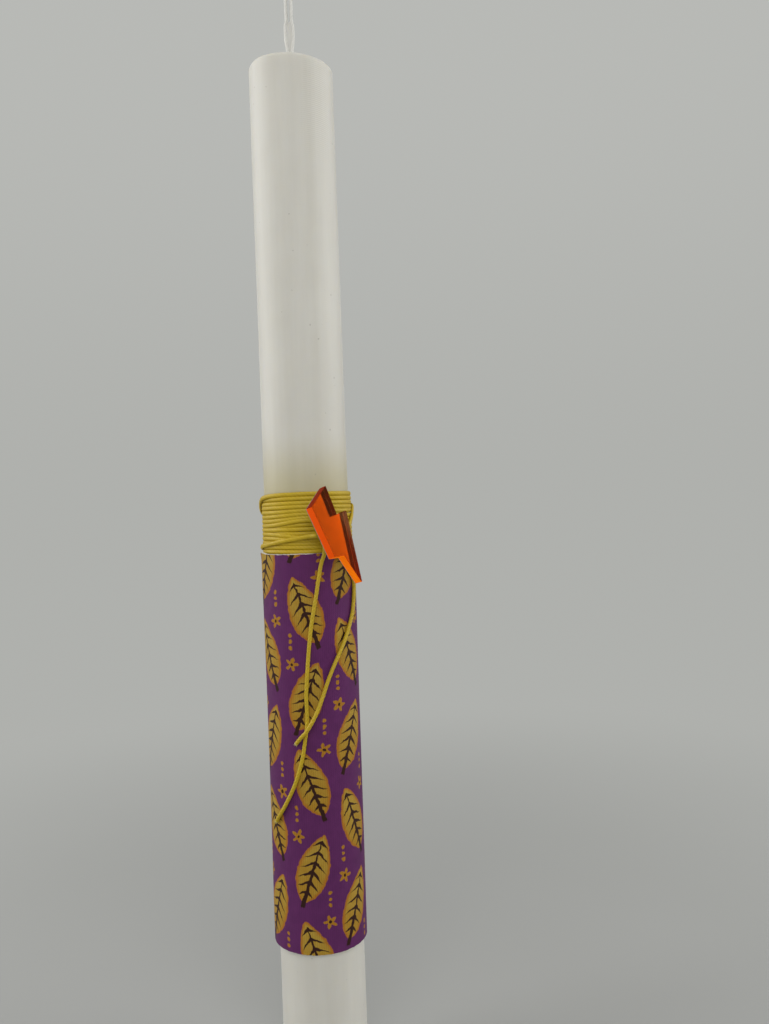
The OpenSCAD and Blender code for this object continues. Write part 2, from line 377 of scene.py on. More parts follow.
class Graph(Tree):
    """A shader tree, with short ways to add what the finishes need."""

    def math(self, operation: str, *values: Number) -> Val:
        """Number that a Math node works out."""
        return Val(self, self.reckon(operation, *values))

    def step(self, low: float, high: float, value: Number) -> Val:
        """Smooth step of a value.

        Args:
            low: Where it is 0.
            high: Where it is 1, which may lie below low.
            value: The value.

        Returns:
            The step.
        """
        made = self.node("ShaderNodeMapRange", interpolation_type="SMOOTHSTEP")
        self.feed(made.inputs["Value"], value)
        self.feed(made.inputs["From Min"], low)
        self.feed(made.inputs["From Max"], high)
        return Val(self, made.outputs[0])

    def mix(self, factor: Number, first: Shade, second: Shade, how: str = "MIX") -> Socket:
        """Mixes two colours.

        Args:
            factor: Share of the second colour.
            first: The first colour.
            second: The second colour.
            how: How the second colour goes over the first.

        Returns:
            The mixed colour.
        """
        made = self.node("ShaderNodeMix", data_type="RGBA", blend_type=how)
        for place, value in zip((0, 6, 7), (factor, first, second)):
            self.feed(made.inputs[place], value)
        return made.outputs[2]

    def dim(self, factor: Number, colour: Shade, shade: Colour) -> Socket:
        """Multiplies a colour with a shade."""
        return self.mix(factor, colour, shade, "MULTIPLY")

    def either(self, factor: Number, first: Socket, second: Socket) -> Socket:
        """Mixes two shaders.

        Args:
            factor: Share of the second shader.
            first: The first shader.
            second: The second shader.

        Returns:
            The mixed shader.
        """
        made = self.node("ShaderNodeMixShader")
        for socket, value in zip(made.inputs, (factor, first, second)):
            self.feed(socket, value)
        return made.outputs[0]

    def seen(self) -> Val:
        """Rays that show the background: those from the camera, and those that gloss or glass sends on.

        Returns:
            1 on such a ray, otherwise 0.
        """
        path = self.node("ShaderNodeLightPath").outputs
        straight = self.math("MAXIMUM", Val(self, path["Is Camera Ray"]), Val(self, path["Is Glossy Ray"]))
        return self.math("MAXIMUM", straight, Val(self, path["Is Transmission Ray"]))

    def place(self) -> Socket:
        """Object coordinates, in metres."""
        return self.node("ShaderNodeTexCoord").outputs["Object"]

    def split(self, vector: Socket) -> tuple[Val, Val, Val]:
        """Parts of a vector.

        Args:
            vector: The vector.

        Returns:
            Its three numbers.
        """
        made = self.node("ShaderNodeSeparateXYZ")
        self.feed(made.inputs[0], vector)
        return tuple(Val(self, s) for s in made.outputs)

    def join(self, x: Number, y: Number, z: Number) -> Socket:
        """Vector of three numbers.

        Args:
            x: The first number.
            y: The second number.
            z: The third number.

        Returns:
            The vector.
        """
        made = self.node("ShaderNodeCombineXYZ")
        for socket, value in zip(made.inputs, (x, y, z)):
            self.feed(socket, value)
        return made.outputs[0]

    def own(self, name: str) -> Val:
        """Number that the mesh stores under a name."""
        return Val(self, self.node("ShaderNodeAttribute", attribute_name=name).outputs["Fac"])

    def noise(self, vector: Socket, scale: float, detail: float = 2.0, roughness: float = 0.5) -> Val:
        """Noise texture, from 0 to 1.

        Args:
            vector: Where it is read.
            scale: Waves to a unit.
            detail: Octaves.
            roughness: Weight of the finer octaves.

        Returns:
            The noise's value.
        """
        made = self.node("ShaderNodeTexNoise")
        self.feed(made.inputs["Vector"], vector)
        self.feed(made.inputs["Scale"], scale)
        self.feed(made.inputs["Detail"], detail)
        self.feed(made.inputs["Roughness"], roughness)
        return Val(self, made.outputs["Fac"])

    def bump(self, height: Number, strength: float, distance: float, below: Socket | None = None) -> Socket:
        """Normal from a height.

        Args:
            height: The height, from 0 to 1.
            strength: How much of it counts.
            distance: The height of 1, in millimetres.
            below: Normal of a coarser bump.

        Returns:
            The normal.
        """
        made = self.node("ShaderNodeBump")
        self.feed(made.inputs["Strength"], strength)
        self.feed(made.inputs["Distance"], distance * MM)
        self.feed(made.inputs["Height"], height)
        if below is not None:
            self.feed(made.inputs["Normal"], below)
        return made.outputs[0]


class Coat(Graph):
    """A material's tree, with its Principled shader."""

    def __init__(self, name: str) -> None:
        """Makes a new material.

        Args:
            name: The material's name.
        """
        self.material = bpy.data.materials.new(name)
        self.material.use_nodes = True
        super().__init__(self.material.node_tree)
        self.shader = self.tree.nodes["Principled BSDF"]
        self.output = self.tree.nodes["Material Output"]

    def set(self, **inputs: object) -> None:
        """Sets or links the shader's inputs, with underscores for the spaces in their names."""
        for key, value in inputs.items():
            self.feed(self.shader.inputs[key.replace("_", " ")], value)


@dataclass(frozen=True)
class WaxFinish:
    """Satin white wax, with soft upright streaks, faint rings, specks and a warm painted shade over the
    sleeve and the cord.
    """

    pale: Colour = (0.70, 0.685, 0.625)
    deep: Colour = (0.63, 0.61, 0.545)
    speck: Colour = (0.30, 0.27, 0.22)
    # Painted shade: a warm darkening over the sleeve and the cord, which fades out over a height above the
    # cord.
    painted_shade: Colour = (0.79, 0.74, 0.53)
    painted_shade_h: float = 20.0
    painted_shade_below: float = 1.5
    bleed: Colour = (1.0, 0.85, 0.6)
    bleed_mm: float = 4.0
    ring_mm: float = 0.58
    turned_z: tuple[float, float] = (262.0, 282.0)
    turned_x: tuple[float, float] = (1.0, 8.0)

    def material(self) -> bpy.types.Material:
        """Builds the finish.

        Returns:
            The material.
        """
        g = Coat("white_wax")
        x, y, z = g.split(g.place())
        upright = g.noise(g.join(x, y, z * 0.05), scale=260.0, detail=3.0, roughness=0.6)
        cloud = g.noise(g.place(), scale=38.0, detail=3.0, roughness=0.55)
        fine = g.noise(g.place(), scale=900.0, detail=2.0, roughness=0.6)
        tone = g.step(0.25, 0.75, upright * 0.45 + cloud * 0.55)
        # Painted shade: the wax is darkened and warmed over the sleeve and up over the cord.
        body = g.dim(self._painted_shade_share(g, z), g.mix(tone, self.deep, self.pale), self.painted_shade)
        spots = g.step(0.865, 0.885, g.noise(g.place(), scale=1150.0, detail=0.0))
        g.set(Base_Color=g.mix(spots * 0.5, body, self.speck),
              Roughness=0.36 + cloud * 0.16 + fine * 0.06,
              Subsurface_Weight=0.3, Subsurface_Radius=self.bleed, Subsurface_Scale=self.bleed_mm * MM,
              Specular_IOR_Level=0.42, IOR=1.44)
        rings = g.math("SINE", z * (2 * math.pi / (self.ring_mm * MM)) + cloud * 3.0)
        turned = g.step(self.turned_z[0] * MM, self.turned_z[1] * MM, z)
        turned = turned * g.step(self.turned_x[0] * MM, self.turned_x[1] * MM, x)
        soft = g.bump(upright, strength=0.25, distance=0.12)
        faint = rings * g.step(0.5, 0.66, cloud) * 0.35 + fine * 0.5
        soft = g.bump(faint, strength=0.2, distance=0.035, below=soft)
        g.set(Normal=g.bump(rings * turned, strength=0.5, distance=0.03, below=soft))
        return g.material

    def _painted_shade_share(self, g: Graph, z: Val) -> Val:
        """Where the wax takes the painted shade: over the sleeve, and less with the height over the cord.

        Args:
            g: The material's tree.
            z: Height, in metres.

        Returns:
            Share of the painted shade.
        """
        cord_top = (SIZES.winding_low + SIZES.winding_h) * MM
        fading = g.step(cord_top + self.painted_shade_h * MM, cord_top - self.painted_shade_below * MM, z)
        return fading * g.step(SIZES.sleeve_low * MM, SIZES.sleeve_top * MM, z)


@dataclass(frozen=True)
class FibreFinish:
    """Waxed fibre, with streaks that follow the lay of the plies, painted shade in the grooves between the
    plies, and pale cut ends.
    """

    name: str
    pale: Colour
    deep: Colour
    cut: Colour
    plies: int
    roughness: float = 0.40
    cut_mm: tuple[float, float] = (0.6, 0.1)

    def material(self) -> bpy.types.Material:
        """Builds the finish.

        Returns:
            The material.
        """
        g = Coat(self.name)
        along, around, tip = g.own("cord_along"), g.own("cord_around"), g.own("cord_tip")
        turn = around * (2 * math.pi)
        ring_x, ring_y = g.math("COSINE", turn), g.math("SINE", turn)
        fibres = g.noise(g.join(ring_x * 3.2, ring_y * 3.2, along * 260.0), scale=2.2, detail=3.0,
                         roughness=0.62)
        patches = g.noise(g.join(ring_x * 0.3, ring_y * 0.3, along * 70.0), scale=1.3)
        groove = g.math("ABSOLUTE", g.math("COSINE", turn * (self.plies / 2)))
        # The tone takes the fibres' own streaks and a painted shade: darker in the grooves between the
        # plies, paler on their crowns.
        tone = g.step(0.2, 0.8, fibres * 0.5 + patches * 0.35 + groove * 0.18)
        body = g.mix(tone, self.deep, self.pale)
        at_cut = g.step(self.cut_mm[0] * MM, self.cut_mm[1] * MM, tip)
        g.set(Base_Color=g.mix(at_cut * 0.7, body, self.cut),
              Roughness=self.roughness + fibres * 0.2 - patches * 0.08,
              Specular_IOR_Level=0.38)
        g.set(Normal=g.bump(fibres * 0.6 + groove * 0.4, strength=0.45, distance=0.07))
        return g.material


CORD_FINISH = FibreFinish(
    "waxed_cord", pale=(0.585, 0.41, 0.014), deep=(0.455, 0.305, 0.007), cut=(0.60, 0.53, 0.22), plies=3)
WICK_FINISH = FibreFinish(
    "waxed_wick", pale=(0.80, 0.79, 0.74), deep=(0.68, 0.665, 0.61), cut=(0.66, 0.64, 0.58), plies=3,
    roughness=0.46)


@dataclass(frozen=True)
class PrintFinish:
    """Printed canvas: ochre leaves with dark veins and blossoms on purple, white at its cuts and back."""

    sheet_w: float
    sheet_h: float
    columns: int = 7
    row_h: float = 24.6
    leaf_half: float = 10.2
    leaf_wide: float = 4.75
    lean_deg: float = 19.0
    belly_power: float = 0.72
    rib_half: float = 0.46
    vein_pitch: float = 2.9
    vein_half: float = 0.74
    blossom_at: tuple[float, float] = (-4.2, 9.2)
    petals: float = 5.0
    petal_r: float = 1.65
    petal_wave: float = 0.6
    heart_r: float = 0.55
    berries_at: tuple[float, float] = (4.4, -8.9)
    berry_gap: float = 1.75
    berry_r: float = 0.68
    hand_sway: float = 1.1
    thread: float = 0.62
    ground: Colour = (0.146, 0.026, 0.138)
    ground_deep: Colour = (0.111, 0.018, 0.106)
    ochre: Colour = (0.46, 0.25, 0.019)
    ochre_pale: Colour = (0.52, 0.335, 0.045)
    rust: Colour = (0.47, 0.165, 0.012)
    stroke: Colour = (0.034, 0.008, 0.003)
    # Painted shade in the weave's hollows, also used for the grain's darker tone.
    grain_and_painted_shade: Colour = (0.22, 0.20, 0.22)
    core: Colour = (0.66, 0.64, 0.59)

    @property
    def column_w(self) -> float:
        """Width of one column of leaves."""
        return self.sheet_w / self.columns

    def material(self) -> bpy.types.Material:
        """Builds the finish.

        Returns:
            The material.
        """
        g = Coat("printed_canvas")
        uv = g.node("ShaderNodeUVMap", uv_map="sheet").outputs[0]
        u, v, _ = g.split(uv)
        flat = g.join(u * self.sheet_w, v * self.sheet_h, 0.0)
        turned = g.join(v * self.sheet_h, u * self.sheet_w, 7.0)
        hand = g.noise(flat, scale=0.55, detail=2.0, roughness=0.6)
        hand_too = g.noise(turned, scale=0.55, detail=2.0, roughness=0.6)
        x = u * self.sheet_w + (hand - 0.5) * self.hand_sway
        y = v * self.sheet_h + (hand_too - 0.5) * self.hand_sway
        grain = g.noise(flat, scale=2.6, detail=3.0, roughness=0.65)
        wash = g.noise(flat, scale=0.35, detail=3.0, roughness=0.6)

        across, up = self._cell(g, x, y)
        leaf, strokes, rim, rise = self._leaf(g, across, up)
        blossom, heart = self._blossom(g, across, up)
        ground = g.mix(g.step(0.3, 0.7, wash * 0.5 + grain * 0.5), self.ground_deep, self.ground)
        ground = g.mix(blossom, ground, g.mix(wash, self.rust, self.ochre))
        ground = g.mix(heart, ground, self.stroke)
        paint = g.mix(g.step(0.3, 0.7, wash * 0.6 + rise * 0.4), self.ochre, self.ochre_pale)
        ink = g.mix(leaf, ground, g.mix(rim, self.rust, paint))
        ink = g.mix(strokes, ink, self.stroke)

        p = 2 * math.pi / self.thread
        warp = g.math("SINE", u * (self.sheet_w * p))
        weave = warp * g.math("SINE", v * (self.sheet_h * p)) * 0.25 + warp * 0.25 + 0.5
        # Painted shade in the weave's hollows, together with the canvas's own grain tone, darkens the ink.
        ink = g.dim((1 - weave) * 0.34 + grain * 0.14, ink, self.grain_and_painted_shade)
        printed = g.own("printed")
        g.set(Base_Color=g.mix(printed, self.core, ink), Roughness=0.56 + grain * 0.2,
              Specular_IOR_Level=0.22)
        g.set(Normal=g.bump(weave * 0.7 + grain * 0.5, strength=0.6, distance=0.07))
        return g.material

    def _cell(self, g: Graph, x: Val, y: Val) -> tuple[Val, Val]:
        """Place within a leaf's own field: columns half a row apart in turn, each second field mirrored.

        Args:
            g: The material's tree.
            x: Distance round the sheet.
            y: Distance up the sheet.

        Returns:
            Distances from the field's middle, to the side that its leaf leans to and up.
        """
        column = g.math("FLOOR", x / self.column_w)
        lifted = y + g.math("MODULO", column, 2.0) * (self.row_h / 2)
        row = g.math("FLOOR", lifted / self.row_h)
        side = 1.0 - g.math("MODULO", column + row, 2.0) * 2.0
        across = (x - (column + 0.5) * self.column_w) * side
        return across, lifted - (row + 0.5) * self.row_h

    def _leaf(self, g: Graph, across: Val, up: Val) -> tuple[Val, Val, Val, Val]:
        """One leaf that leans to the side.

        Args:
            g: The material's tree.
            across: Distance from the field's middle to the side.
            up: Distance up from the field's middle.

        Returns:
            Where the leaf is, where its rib and veins are, its paler middle, and the share of its length.
        """
        c, s = math.cos(math.radians(self.lean_deg)), math.sin(math.radians(self.lean_deg))
        p = up * c + across * s
        q = g.math("ABSOLUTE", across * c - up * s)
        t = p / self.leaf_half
        belly = g.math("POWER", g.math("MAXIMUM", 1.0 - t * t, 0.0001), self.belly_power)
        wide = belly * (1.0 - t * 0.22) * self.leaf_wide
        inside = wide - q
        leaf = g.step(0.0, 0.3, inside)
        rib = g.step(0.0, 0.2, self.rib_half - t * 0.24 - q)
        rib = rib * g.step(-1.17, -1.13, t) * g.step(0.84, 0.76, t)
        wave = g.math("FRACT", (p + 40.0 + q * 0.7) / self.vein_pitch) - 0.5
        vein = self.vein_half - q / wide * self.vein_half - g.math("ABSOLUTE", wave) * self.vein_pitch
        veins = g.step(0.0, 0.24, vein) * g.step(0.4, 0.8, inside)
        return leaf, g.math("MAXIMUM", rib, veins), g.step(0.1, 1.5, inside), t * 0.5 + 0.5

    def _blossom(self, g: Graph, across: Val, up: Val) -> tuple[Val, Val]:
        """A small five-petal blossom and three berries, in the two corners that the leaf leaves free.

        Args:
            g: The material's tree.
            across: Distance from the field's middle to the side.
            up: Distance up from the field's middle.

        Returns:
            Where a petal or berry is, and where the blossom's heart is.
        """
        x, y = across - self.blossom_at[0], up - self.blossom_at[1]
        far = g.math("SQRT", x * x + y * y)
        wave = g.math("COSINE", g.math("ARCTAN2", y, x) * self.petals) * self.petal_wave
        petals = g.step(0.0, 0.25, self.petal_r + wave - far)
        x, y = across - self.berries_at[0], up - self.berries_at[1]
        beside = g.math("ABSOLUTE", y) - self.berry_gap
        near = g.math("MINIMUM", g.math("SQRT", x * x + y * y), g.math("SQRT", x * x + beside * beside))
        dots = g.step(0.0, 0.25, self.berry_r - near)
        return g.math("MAXIMUM", petals, dots), g.step(0.0, 0.2, self.heart_r - far)


@dataclass(frozen=True)
class TapeFinish:
    """Double-sided tape: a yellowish film with gauze threads."""

    film: Colour = (0.66, 0.62, 0.48)
    gauze: Colour = (0.74, 0.72, 0.64)
    mesh_mm: float = 1.4

    def material(self) -> bpy.types.Material:
        """Builds the finish.

        Returns:
            The material.
        """
        g = Coat("double_sided_tape")
        x, y, z = g.split(g.place())
        p = 2 * math.pi / (self.mesh_mm * MM)
        round_it = g.math("ARCTAN2", y, x) * (SIZES.wax_r * MM)
        threads = g.step(0.82, 0.95, g.math("MAXIMUM", g.math("SINE", round_it * p), g.math("SINE", z * p)))
        cloud = g.noise(g.place(), scale=150.0)
        g.set(Base_Color=g.mix(threads * 0.7 + cloud * 0.3, self.film, self.gauze),
              Roughness=0.30 + cloud * 0.25, Specular_IOR_Level=0.5)
        g.set(Normal=g.bump(threads, strength=0.4, distance=0.05))
        return g.material


@dataclass(frozen=True)
class GlueFinish:
    """Set clear glue, milky with small bubbles."""

    clear: Colour = (0.70, 0.67, 0.58)
    milk: Colour = (0.78, 0.76, 0.70)

    def material(self) -> bpy.types.Material:
        """Builds the finish.

        Returns:
            The material.
        """
        g = Coat("set_glue")
        cloud = g.noise(g.place(), scale=700.0, detail=3.0)
        bubbles = g.step(0.68, 0.74, g.noise(g.place(), scale=2300.0, detail=0.0))
        g.set(Base_Color=g.mix(cloud * 0.7 + bubbles * 0.3, self.clear, self.milk),
              Roughness=0.16 + cloud * 0.12, Transmission_Weight=0.45, IOR=1.48)
        g.set(Normal=g.bump(cloud + bubbles * 0.4, strength=0.3, distance=0.08))
        return g.material


@dataclass(frozen=True)
class MirrorFinish:
    """Mirror film, bright towards the plate and grey paint on its back."""

    bright: Colour = (0.66, 0.66, 0.66)
    paint: Colour = (0.33, 0.33, 0.325)
    worn: Colour = (0.45, 0.45, 0.44)

    def material(self) -> bpy.types.Material:
        """Builds the finish.

        Returns:
            The material.
        """
        g = Coat("mirror_film")
        back = g.own("film_back")
        cloud = g.noise(g.place(), scale=500.0, detail=3.0)
        scuffs = g.step(0.62, 0.7, g.noise(g.place(), scale=240.0, detail=4.0, roughness=0.7))
        paint = g.mix(cloud * 0.25 + scuffs * 0.25, self.paint, self.worn)
        g.set(Base_Color=g.mix(back, self.bright, paint), Metallic=1.0 - back,
              Roughness=0.12 + cloud * 0.06 + back * 0.32)
        g.set(Normal=g.bump(cloud, strength=0.15, distance=0.01))
        return g.material


@dataclass(frozen=True)
class AcrylicFinish:
    """Clear orange acrylic: polished faces, and striped cut edges with painted light: painted shade on edges
    that look up, and a painted glow in colour and emission on edges that look down.
    """

    tint: Colour = (1.0, 0.66, 0.28)
    gloss: Colour = (1.0, 0.5, 0.16)
    body: Colour = (0.955, 0.655, 0.021)
    density: float = 700.0
    # Painted edge colours: painted shade on edges that look up, painted light and glow on edges that look
    # down.
    painted_shade_edge: Colour = (0.25, 0.018, 0.003)
    painted_lit_edge: Colour = (0.92, 0.095, 0.003)
    painted_glow_edge: Colour = (1.0, 0.26, 0.004)
    clear_edge: float = 0.12
    # Strengths of the painted glow that the cut edges emit.
    glow: float = 0.1
    painted_hot_glow: float = 0.4
    stripe_mm: float = 0.42

    def material(self) -> bpy.types.Material:
        """Builds the finish.

        Returns:
            The material.
        """
        g = Coat("orange_acrylic")
        edge, down, along = g.own("cut_edge"), g.own("edge_down"), g.own("edge_along")
        # Painted light and shade by the way each cut edge faces: a painted glow where it looks down,
        # brighter and striped along the striations where it looks steeply down.
        glow, painted_hot = g.step(-0.12, 0.28, down), g.step(0.34, 0.5, down)
        smudge = g.noise(g.place(), scale=260.0, detail=3.0, roughness=0.6)
        stripes = g.math("SINE", along * (2 * math.pi / (self.stripe_mm * MM)) + smudge * 4.0) * 0.5 + 0.5
        painted_hot = painted_hot * (0.35 + 0.65 * g.step(0.36, 0.78, stripes * 0.5 + smudge * 0.5))
        painted_lit = g.mix(painted_hot, self.painted_lit_edge, self.painted_glow_edge)
        # Cut edges take painted colour and painted emission instead of the plain tint.
        g.set(Base_Color=g.mix(edge, self.tint, g.mix(glow, self.painted_shade_edge, painted_lit)),
              Roughness=0.02 + smudge * 0.03 + edge * (0.74 + stripes * 0.16),
              Transmission_Weight=1.0 - edge * (1 - self.clear_edge), IOR=1.49,
              Specular_IOR_Level=0.1, Specular_Tint=self.gloss, Emission_Color=painted_lit,
              Emission_Strength=edge * (glow * self.glow + painted_hot * self.painted_hot_glow))
        g.set(Normal=g.bump(edge * stripes * g.step(0.4, 0.65, smudge), strength=0.35, distance=0.03))
        depth = g.node("ShaderNodeVolumeAbsorption")
        g.feed(depth.inputs["Color"], self.body)
        g.feed(depth.inputs["Density"], self.density)
        g.feed(g.output.inputs["Volume"], depth.outputs[0])
        return g.material


@dataclass(frozen=True)
class CordMake:
    """How a twisted cord is made up."""

    thickness: float
    plies: int
    lay: float
    depth: float
    step: float
    sides: int
    pressed: float = 1.0


@dataclass(frozen=True)
class TuftMake:
    """How the loose fibres on a cut end are made up."""

    length: float = 0.75
    shortest: float = 0.45
    thickness: float = 0.11
    density: float = 4.2e7
    spread: float = 0.42
    cover: float = 0.82
    sides: int = 12


TUFT = TuftMake()


class NodeTool(Tree):
    """A Geometry Nodes tree with named inputs, and the way to run it on a mesh."""

    def __init__(self, name: str, inputs: Sequence[tuple[str, str]]) -> None:
        """Makes the tree with its group input and output.

        Args:
            name: The tree's name.
            inputs: Name and socket type of each input after the geometry.
        """
        super().__init__(bpy.data.node_groups.new(name, "GeometryNodeTree"))
        face = self.tree.interface
        face.new_socket("Geometry", in_out="INPUT", socket_type="NodeSocketGeometry")
        for label, kind in inputs:
            face.new_socket(label, in_out="INPUT", socket_type=kind)
        face.new_socket("Geometry", in_out="OUTPUT", socket_type="NodeSocketGeometry")
        self.given = self.node("NodeGroupInput").outputs
        self.result = self.node("NodeGroupOutput").inputs[0]

    def add(self, kind: str, settings: dict[str, object] | None = None, **inputs: object) -> bpy.types.Node:
        """Adds a node and feeds its inputs.

        Args:
            kind: The node's type.
            settings: Its properties.
            inputs: Its inputs by name, with underscores for spaces, as constants or sockets.

        Returns:
            The node.
        """
        made = self.node(kind, **(settings or {}))
        for key, value in inputs.items():
            socket = next(s for s in made.inputs if s.name == key.replace("_", " ") and s.enabled)
            self.feed(socket, value)
        return made

    def end(self, geometry: Socket) -> None:
        """Closes the tree with Realize Instances and Set Material.

        Args:
            geometry: What the tree has made.
        """
        real = self.add("GeometryNodeRealizeInstances", Geometry=geometry)
        dressed = self.add("GeometryNodeSetMaterial", Geometry=real.outputs[0],
                           Material=self.given["Material"])
        self.feed(self.result, dressed.outputs[0])

    def run(self, name: str, verts: Sequence[Sequence[float]], edges: Sequence[Sequence[int]],
            faces: Sequence[Sequence[int]], values: dict[str, object]) -> bpy.types.Object:
        """Runs the tree on a small mesh and gives the result as a plain piece.

        Args:
            name: The new piece's name.
            verts: Points of the mesh, in millimetres.
            edges: Its edges.
            faces: Its faces.
            values: The tree's inputs by name.

        Returns:
            The new piece, without the modifier.
        """
        mesh = bpy.data.meshes.new(name + "_guide")
        mesh.from_pydata([tuple(float(c) * MM for c in v) for v in verts], edges, faces)
        guide = bpy.data.objects.new(name + "_guide", mesh)
        bpy.context.scene.collection.objects.link(guide)
        modifier = guide.modifiers.new("make", "NODES")
        modifier.node_group = self.tree
        for item in self.tree.interface.items_tree:
            if item.in_out == "INPUT" and item.name in values:
                modifier[item.identifier] = values[item.name]
        graph = bpy.context.evaluated_depsgraph_get()
        made = bpy.data.meshes.new_from_object(
            guide.evaluated_get(graph), preserve_all_data_layers=True, depsgraph=graph)
        made.name = name
        bpy.data.objects.remove(guide)
        bpy.data.meshes.remove(mesh)
        return show(name, made, sharp_deg=50.0)


class CordSweep(NodeTool):
    """Sweeps a plied, twisted section along a line."""

    def __init__(self) -> None:
        """Builds the tree."""
        number, whole = "NodeSocketFloat", "NodeSocketInt"
        super().__init__("cord_sweep", [
            ("Thickness", number), ("Plies", number), ("Lay", number), ("Depth", number),
            ("Step", number), ("Sides", whole), ("Pressed", number), ("Wound Radius", number),
            ("Loose Radius", number), ("Material", "NodeSocketMaterial")])
        given = self.given
        line = self.add("GeometryNodeMeshToCurve", Mesh=given["Geometry"])
        even = self.add("GeometryNodeResampleCurve", {"mode": "LENGTH"}, Curve=line.outputs[0],
                        Length=given["Step"])
        along = self.add("GeometryNodeSplineParameter").outputs["Length"]
        whole_length = self.add("GeometryNodeSplineLength").outputs["Length"]
        tip = self.reckon("SUBTRACT", whole_length, along)
        turn = self.reckon("MULTIPLY", self.reckon("DIVIDE", along, given["Lay"]), 2 * math.pi)
        twisted = self.add("GeometryNodeSetCurveTilt", Curve=even.outputs[0], Tilt=turn)
        rail = self.keep(self.keep(twisted.outputs[0], "cord_along", along), "cord_tip", tip)
        rail = self.keep(rail, "axis_r", self.out_from_axis()[2])
        swept = self.add("GeometryNodeCurveToMesh", Curve=rail, Profile_Curve=self.section(), Fill_Caps=True)
        self.end(self.press(swept.outputs[0]))

    def out_from_axis(self) -> tuple[Socket, Socket, Socket]:
        """Where a point lies.

        Returns:
            Its x and y, and its distance from the candle's axis.
        """
        parts = self.add("ShaderNodeSeparateXYZ")
        self.feed(parts.inputs[0], self.add("GeometryNodeInputPosition").outputs[0])
        x, y = parts.outputs[0], parts.outputs[1]
        squares = self.reckon("ADD", self.reckon("MULTIPLY", x, x), self.reckon("MULTIPLY", y, y))
        return x, y, self.reckon("SQRT", squares)

    def press(self, geometry: Socket) -> Socket:
        """Presses the section flat towards the candle where the cord is wound tight.

        Args:
            geometry: The swept cord.

        Returns:
            The pressed cord.
        """
        given = self.given
        named = self.add("GeometryNodeInputNamedAttribute", {"data_type": "FLOAT"}, Name="axis_r")
        axis = next(out for out in named.outputs if out.enabled)
        x, y, r = self.out_from_axis()
        kept = self.add("ShaderNodeMapRange", Value=axis, From_Min=given["Wound Radius"],
                        From_Max=given["Loose Radius"], To_Min=given["Pressed"], To_Max=1.0).outputs[0]
        move = self.reckon("MULTIPLY", self.reckon("SUBTRACT", axis, r), self.reckon("SUBTRACT", 1.0, kept))
        share = self.reckon("DIVIDE", move, r)
        offset = self.add("ShaderNodeCombineXYZ")
        self.feed(offset.inputs[0], self.reckon("MULTIPLY", x, share))
        self.feed(offset.inputs[1], self.reckon("MULTIPLY", y, share))
        return self.add("GeometryNodeSetPosition", Geometry=geometry, Offset=offset.outputs[0]).outputs[0]

    def keep(self, geometry: Socket, name: str, value: Socket) -> Socket:
        """Stores a number on each point of a curve.

        Args:
            geometry: The curve.
            name: The number's name.
            value: The number.

        Returns:
            The curve with the number.
        """
        made = self.add("GeometryNodeStoreNamedAttribute", {"data_type": "FLOAT", "domain": "POINT"},
                        Geometry=geometry, Name=name, Value=value)
        return made.outputs[0]

    def section(self) -> Socket:
        """Section of the cord: a circle with a groove between each two plies.

        Returns:
            The section as a curve.
        """
        given = self.given
        circle = self.add("GeometryNodeCurvePrimitiveCircle", {"mode": "RADIUS"}, Resolution=given["Sides"],
                          Radius=self.reckon("MULTIPLY", given["Thickness"], 0.5))
        share = self.add("GeometryNodeSplineParameter").outputs["Factor"]
        marked = self.keep(circle.outputs[0], "cord_around", share)
        swing = self.reckon("MULTIPLY", self.reckon("MULTIPLY", share, given["Plies"]), math.pi)
        dip = self.reckon("SUBTRACT", 1.0, self.reckon("ABSOLUTE", self.reckon("COSINE", swing)))
        scale = self.reckon("SUBTRACT", 1.0, self.reckon("MULTIPLY", dip, given["Depth"]))
        spot = self.add("GeometryNodeInputPosition").outputs[0]
        moved = self.node("ShaderNodeVectorMath", operation="SCALE")
        self.feed(moved.inputs[0], spot)
        self.feed(moved.inputs["Scale"], scale)
        return self.add("GeometryNodeSetPosition", Geometry=marked, Position=moved.outputs[0]).outputs[0]

    def cord(self, name: str, points: Sequence[np.ndarray], make: CordMake,
             material: bpy.types.Material) -> bpy.types.Object:
        """Makes a cord along a line of points in millimetres.

        Args:
            name: The piece's name.
            points: The line.
            make: How the cord is made up.
            material: Its finish.

        Returns:
            The cord as a mesh piece.
        """
        edges = [(i, i + 1) for i in range(len(points) - 1)]
        return self.run(name, points, edges, [], {
            "Thickness": make.thickness * MM, "Plies": float(make.plies), "Lay": make.lay * MM,
            "Depth": make.depth, "Step": make.step * MM, "Sides": make.sides, "Pressed": make.pressed,
            "Wound Radius": SIZES.winding_r * MM + SIZES.wound_t * MM / 2,
            "Loose Radius": SIZES.knot_axis_r * MM - SIZES.cord_r * MM, "Material": material})


